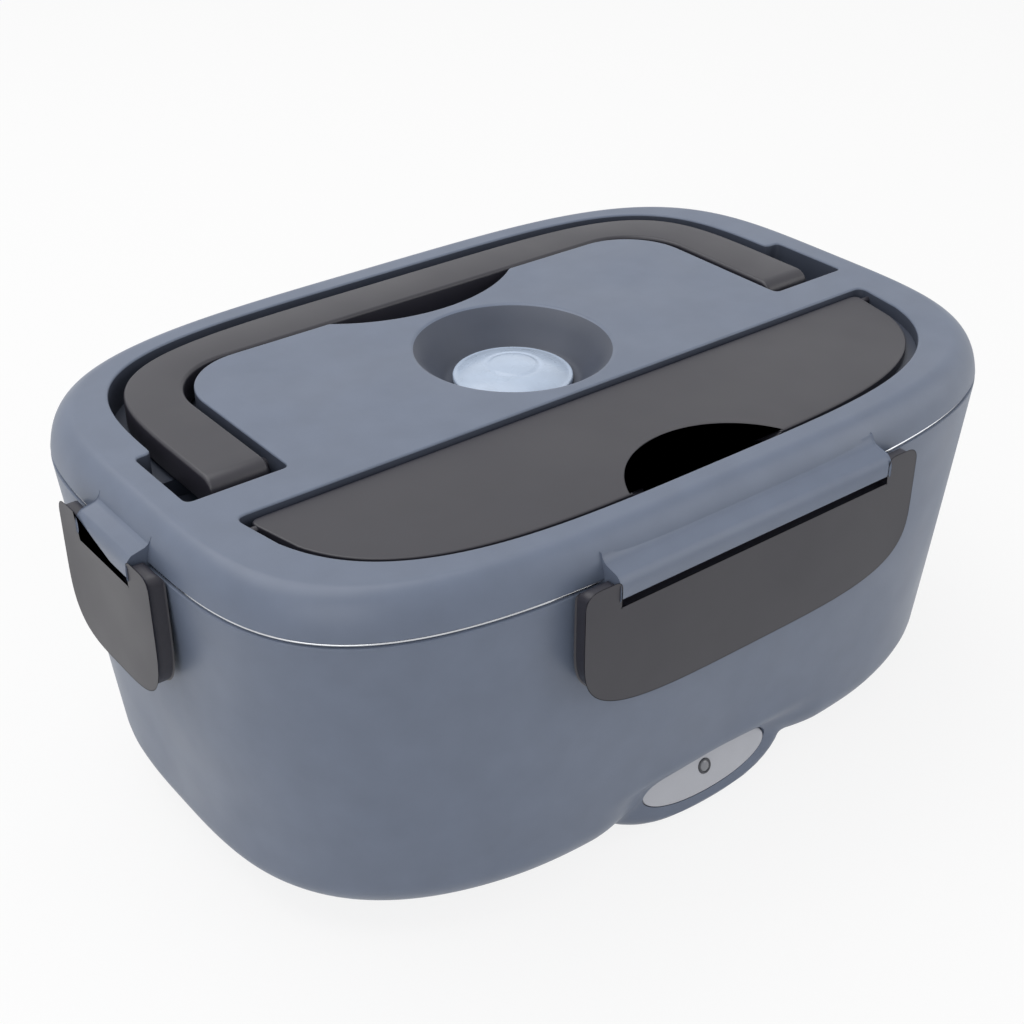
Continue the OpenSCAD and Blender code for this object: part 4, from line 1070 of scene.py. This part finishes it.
def make_latch(name):
    _, _, w = SIDES[name]
    outline = latch_outline(w)
    front, soft, rim = -FACE_OUT, 0.9, 1.5
    rings = [latch_ring(grown(outline, -soft - 0.12), front)]
    for a in np.radians(np.linspace(0, 90, 6)):
        rings.append(latch_ring(grown(outline, -soft * (1 - math.sin(a))),
                                front + soft * (1 - math.cos(a))))
    rings += [latch_ring(outline, d) for d in (-0.4, 0.4, 1.0, FLAP_BACK - 0.3)]
    rings += [latch_ring(grown(outline, -0.3), FLAP_BACK)]
    bm = bmesh.new()
    made = add_loft(bm, rings, True, False)
    hollow = soften([(-w / 2 + rim + 1, -LATCH_TOP - rim - 1.2),
                     (-w / 2 + rim + 1, -LATCH_SIDE - 4),
                     (-w / 2 + 9, -LATCH_REACH + rim + 1.2),
                     (w / 2 - 9, -LATCH_REACH + rim + 1.2),
                     (w / 2 - rim - 1, -LATCH_SIDE - 4),
                     (w / 2 - rim - 1, -LATCH_TOP - rim - 1.2)], 4)
    depths = ((0.0, FLAP_BACK), (-0.15, FLAP_BACK - 0.1), (-0.2, 0.2), (-0.5, -0.2))
    pocket = [latch_ring(grown(hollow, g), d) for g, d in depths]
    inner = add_loft(bm, pocket, False, True)
    edges = []
    for ring in (made[-1], inner[0]):
        for p, q in zip(ring, ring[1:] + ring[:1]):
            edges.append(bm.edges.get((p, q)) or bm.edges.new((p, q)))
    bmesh.ops.triangle_fill(bm, edges=edges, use_beauty=True, normal=(0, 1, 0))
    rib = w / 2 - EAR_W - 8
    section = np.array([(-0.3, -20.1), (2.1, -19.3), (2.25, -18.9), (2.1, -18.6),
                        (-0.3, -17.9)])
    add_loft(bm, [np.column_stack([np.full(5, x), section]) for x in (-rib, rib)])
    for side in (-1, 1):
        inside = w / 2 - EAR_W
        add_stub(bm, side * (inside + 0.5), side * (inside - EAR_GAP - 2.2), 0, 0, 1.2)
    placed(bm, side_matrix(name))
    finished(f"latch_{name}_flap", bm, f"{name}_latch", TRIM, [f"latch_{name}"], 30)


# ---------------------------------------------------------------- indicator and beads

def make_label():
    outline = plan(LABEL_A, LABEL_B, LABEL_N, 180)
    z0 = -LABEL_SUNK
    bm = bmesh.new()
    rings = slab_rings(outline, z0, z0 + LABEL_T, 0.25, 0.05)
    made = add_loft(bm, rings, True, False)
    hole = [at_z(plan(r, r, 2, 64), z) for r, z in ((2.05, z0 + LABEL_T), (1.97, z0 + 0.7),
                                                      (1.97, z0))]
    eye = add_loft(bm, hole, False, False)
    add_deck(bm, [made[-1], eye[0]])
    placed(bm, ON_POD)
    finished("label_oval", bm, "base", LABEL, ["label_plate"])
    # Painted shadow: a dark sheet on the floor of the gap round the label stands in for the
    # shade in that gap.
    gap = LABEL_GAP + 0.02
    groove = loft([at_z(plan(LABEL_A + gap, LABEL_B + gap, LABEL_N, 180), z0 - 0.05),
                   at_z(plan(LABEL_A - 0.3, LABEL_B - 0.3, LABEL_N, 180), z0 - 0.04)],
                  cap_end=False, cap_start=False)
    placed(groove, ON_POD)
    finished("label_gap_shadow_sheet", groove, "base", PAINTED_GAP_SHADOW)
    ring = [(2.0, z0), (1.95, z0 + 0.95), (1.8, z0 + 1.08), (1.5, z0 + 1.08),
            (1.38, z0 + 0.95)]
    bm = loft(turned(ring, m=64), cap_start=False, cap_end=False)
    placed(bm, ON_POD)
    finished("lens_bezel", bm, "base", RING)
    dome = [(1.4 * math.cos(a), z0 + 0.85 + 0.28 * math.sin(a))
            for a in np.radians(np.linspace(0, 84, 8))]
    bm = loft(turned(dome, m=48), cap_start=False)
    placed(bm, ON_POD)
    finished("lens_dome", bm, "base", LENS, ["indicator_lens"])


def make_beads():
    """Low beads on the base that the latches' ribs catch under."""
    z = TOP - 25.6
    for name, (_, _, w) in SIDES.items():
        rib = w / 2 - EAR_W - 8
        out = HINGE_OUT
        section = np.array([(out + 1.6, z - 0.8), (out + 0.35, z - 0.6), (out, z - 0.2),
                            (out, z + 0.2), (out + 0.35, z + 0.6), (out + 1.6, z + 0.8)])
        section[:, 1] -= HINGE_Z
        ends = [(-rib - 1, 0.6), (-rib, 0), (rib, 0), (rib + 1, 0.6)]
        bm = loft([np.column_stack([np.full(6, x), section[:, 0] + s, section[:, 1]])
                   for x, s in ends])
        placed(bm, side_matrix(name))
        finished(f"bead_{name}", bm, "base", BODY, sharp=50)


# ---------------------------------------------------------------- carried-over nodes

def dress_nodes():
    looks = {"heating_plate": PLATE, "plate_screws": SHEET, "ptc_heater": PLATE,
             "thermostat": BLACK, "thermal_fuse": BRASS, "power_inlet": BLACK,
             "inlet_pins": BRASS, "indicator_board": BOARD, "indicator_led": LED,
             "base_screws": SHEET, "rubber_feet": RUBBER, "inner_wires": WIRES,
             "spoon": SHEET, "fork": SHEET}
    for name, material in looks.items():
        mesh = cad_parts[name].data
        mesh.materials.clear()
        mesh.materials.append(material)


# ---------------------------------------------------------------- stage and camera

def area_light(name, at, size, power, aim=(0, 0, 0.05), tint=(1, 1, 1)):
    lamp = bpy.data.lights.new(name, "AREA")
    lamp.shape = "RECTANGLE"
    lamp.size, lamp.size_y = size
    lamp.energy = power
    lamp.color = tint
    obj = bpy.data.objects.new(name, lamp)
    bpy.context.scene.collection.objects.link(obj)
    obj.location = at
    obj.rotation_mode = "QUATERNION"
    obj.rotation_quaternion = (Vector(at) - Vector(aim)).to_track_quat("Z", "Y")


def seen_directly(tree):
    """1 for rays from the camera, off gloss or through glass."""
    path = tree.nodes.new("ShaderNodeLightPath")
    total = path.outputs["Is Camera Ray"]
    for name in ("Is Glossy Ray", "Is Transmission Ray"):
        add = tree.nodes.new("ShaderNodeMath")
        add.operation = "MAXIMUM"
        tree.links.new(total, add.inputs[0])
        tree.links.new(path.outputs[name], add.inputs[1])
        total = add.outputs[0]
    return total


def make_world(strength):
    world = bpy.data.worlds.new("studio")
    world.use_nodes = True
    bpy.context.scene.world = world
    tree = world.node_tree
    back = tree.nodes["Background"]
    back.inputs["Color"].default_value = (1, 1, 1, 1)
    power = tree.nodes.new("ShaderNodeMapRange")
    power.inputs["To Min"].default_value = strength
    power.inputs["To Max"].default_value = 1.0
    tree.links.new(seen_directly(tree), power.inputs["Value"])
    tree.links.new(power.outputs["Result"], back.inputs["Strength"])


def make_floor():
    mesh = bpy.data.meshes.new("floor")
    s = 4.0
    mesh.from_pydata([(-s, -s, 0), (s, -s, 0), (s, s, 0), (-s, s, 0)], [], [(0, 1, 2, 3)])
    floor = bpy.data.objects.new("floor", mesh)
    bpy.context.scene.collection.objects.link(floor)
    material = bpy.data.materials.new("floor_white")
    material.use_nodes = True
    tree = material.node_tree
    out = tree.nodes["Material Output"]
    tree.nodes.remove(tree.nodes["Principled BSDF"])
    paper = tree.nodes.new("ShaderNodeBsdfDiffuse")
    paper.inputs["Color"].default_value = (0.9, 0.9, 0.9, 1)
    glow = tree.nodes.new("ShaderNodeEmission")
    share = tree.nodes.new("ShaderNodeMath")
    share.operation = "MULTIPLY"
    share.inputs[1].default_value = 0.85
    tree.links.new(seen_directly(tree), share.inputs[0])
    mix = tree.nodes.new("ShaderNodeMixShader")
    tree.links.new(share.outputs[0], mix.inputs["Fac"])
    tree.links.new(paper.outputs[0], mix.inputs[1])
    tree.links.new(glow.outputs[0], mix.inputs[2])
    tree.links.new(mix.outputs[0], out.inputs["Surface"])
    mesh.materials.append(material)


CAMERA_AT = (-0.2253, -0.2805, 0.2719)
CAMERA_TO = (-0.0488, -0.0546, 0.096)
CAMERA_LENS = 57.28


def make_camera():
    data = bpy.data.cameras.new("camera")
    data.lens, data.sensor_width = CAMERA_LENS, 36
    data.clip_start, data.clip_end = 0.01, 50
    camera = bpy.data.objects.new("camera", data)
    bpy.context.scene.collection.objects.link(camera)
    camera.location = CAMERA_AT
    camera.rotation_mode = "QUATERNION"
    back = Vector(CAMERA_AT) - Vector(CAMERA_TO)
    camera.rotation_quaternion = back.to_track_quat("Z", "Y")
    bpy.context.scene.camera = camera


def make_stage():
    make_floor()
    make_world(0.4)
    area_light("top_soft", (-0.25, 0.35, 1.1), (1.2, 1.0), 8)
    area_light("front_left", (-1.0, -0.7, 0.7), (0.9, 0.9), 4)
    area_light("right_fill", (0.9, -0.8, 0.5), (0.8, 0.8), 3)
    bpy.context.scene.view_settings.view_transform = "Standard"


make_camera()
make_stage()
make_base()
make_container()
make_liner()
make_tray()
make_lid()
make_inner_lid()
make_seal()
make_handle()
make_cover()
make_plug()
for side in SIDES:
    make_latch(side)
make_label()
make_beads()
dress_nodes()
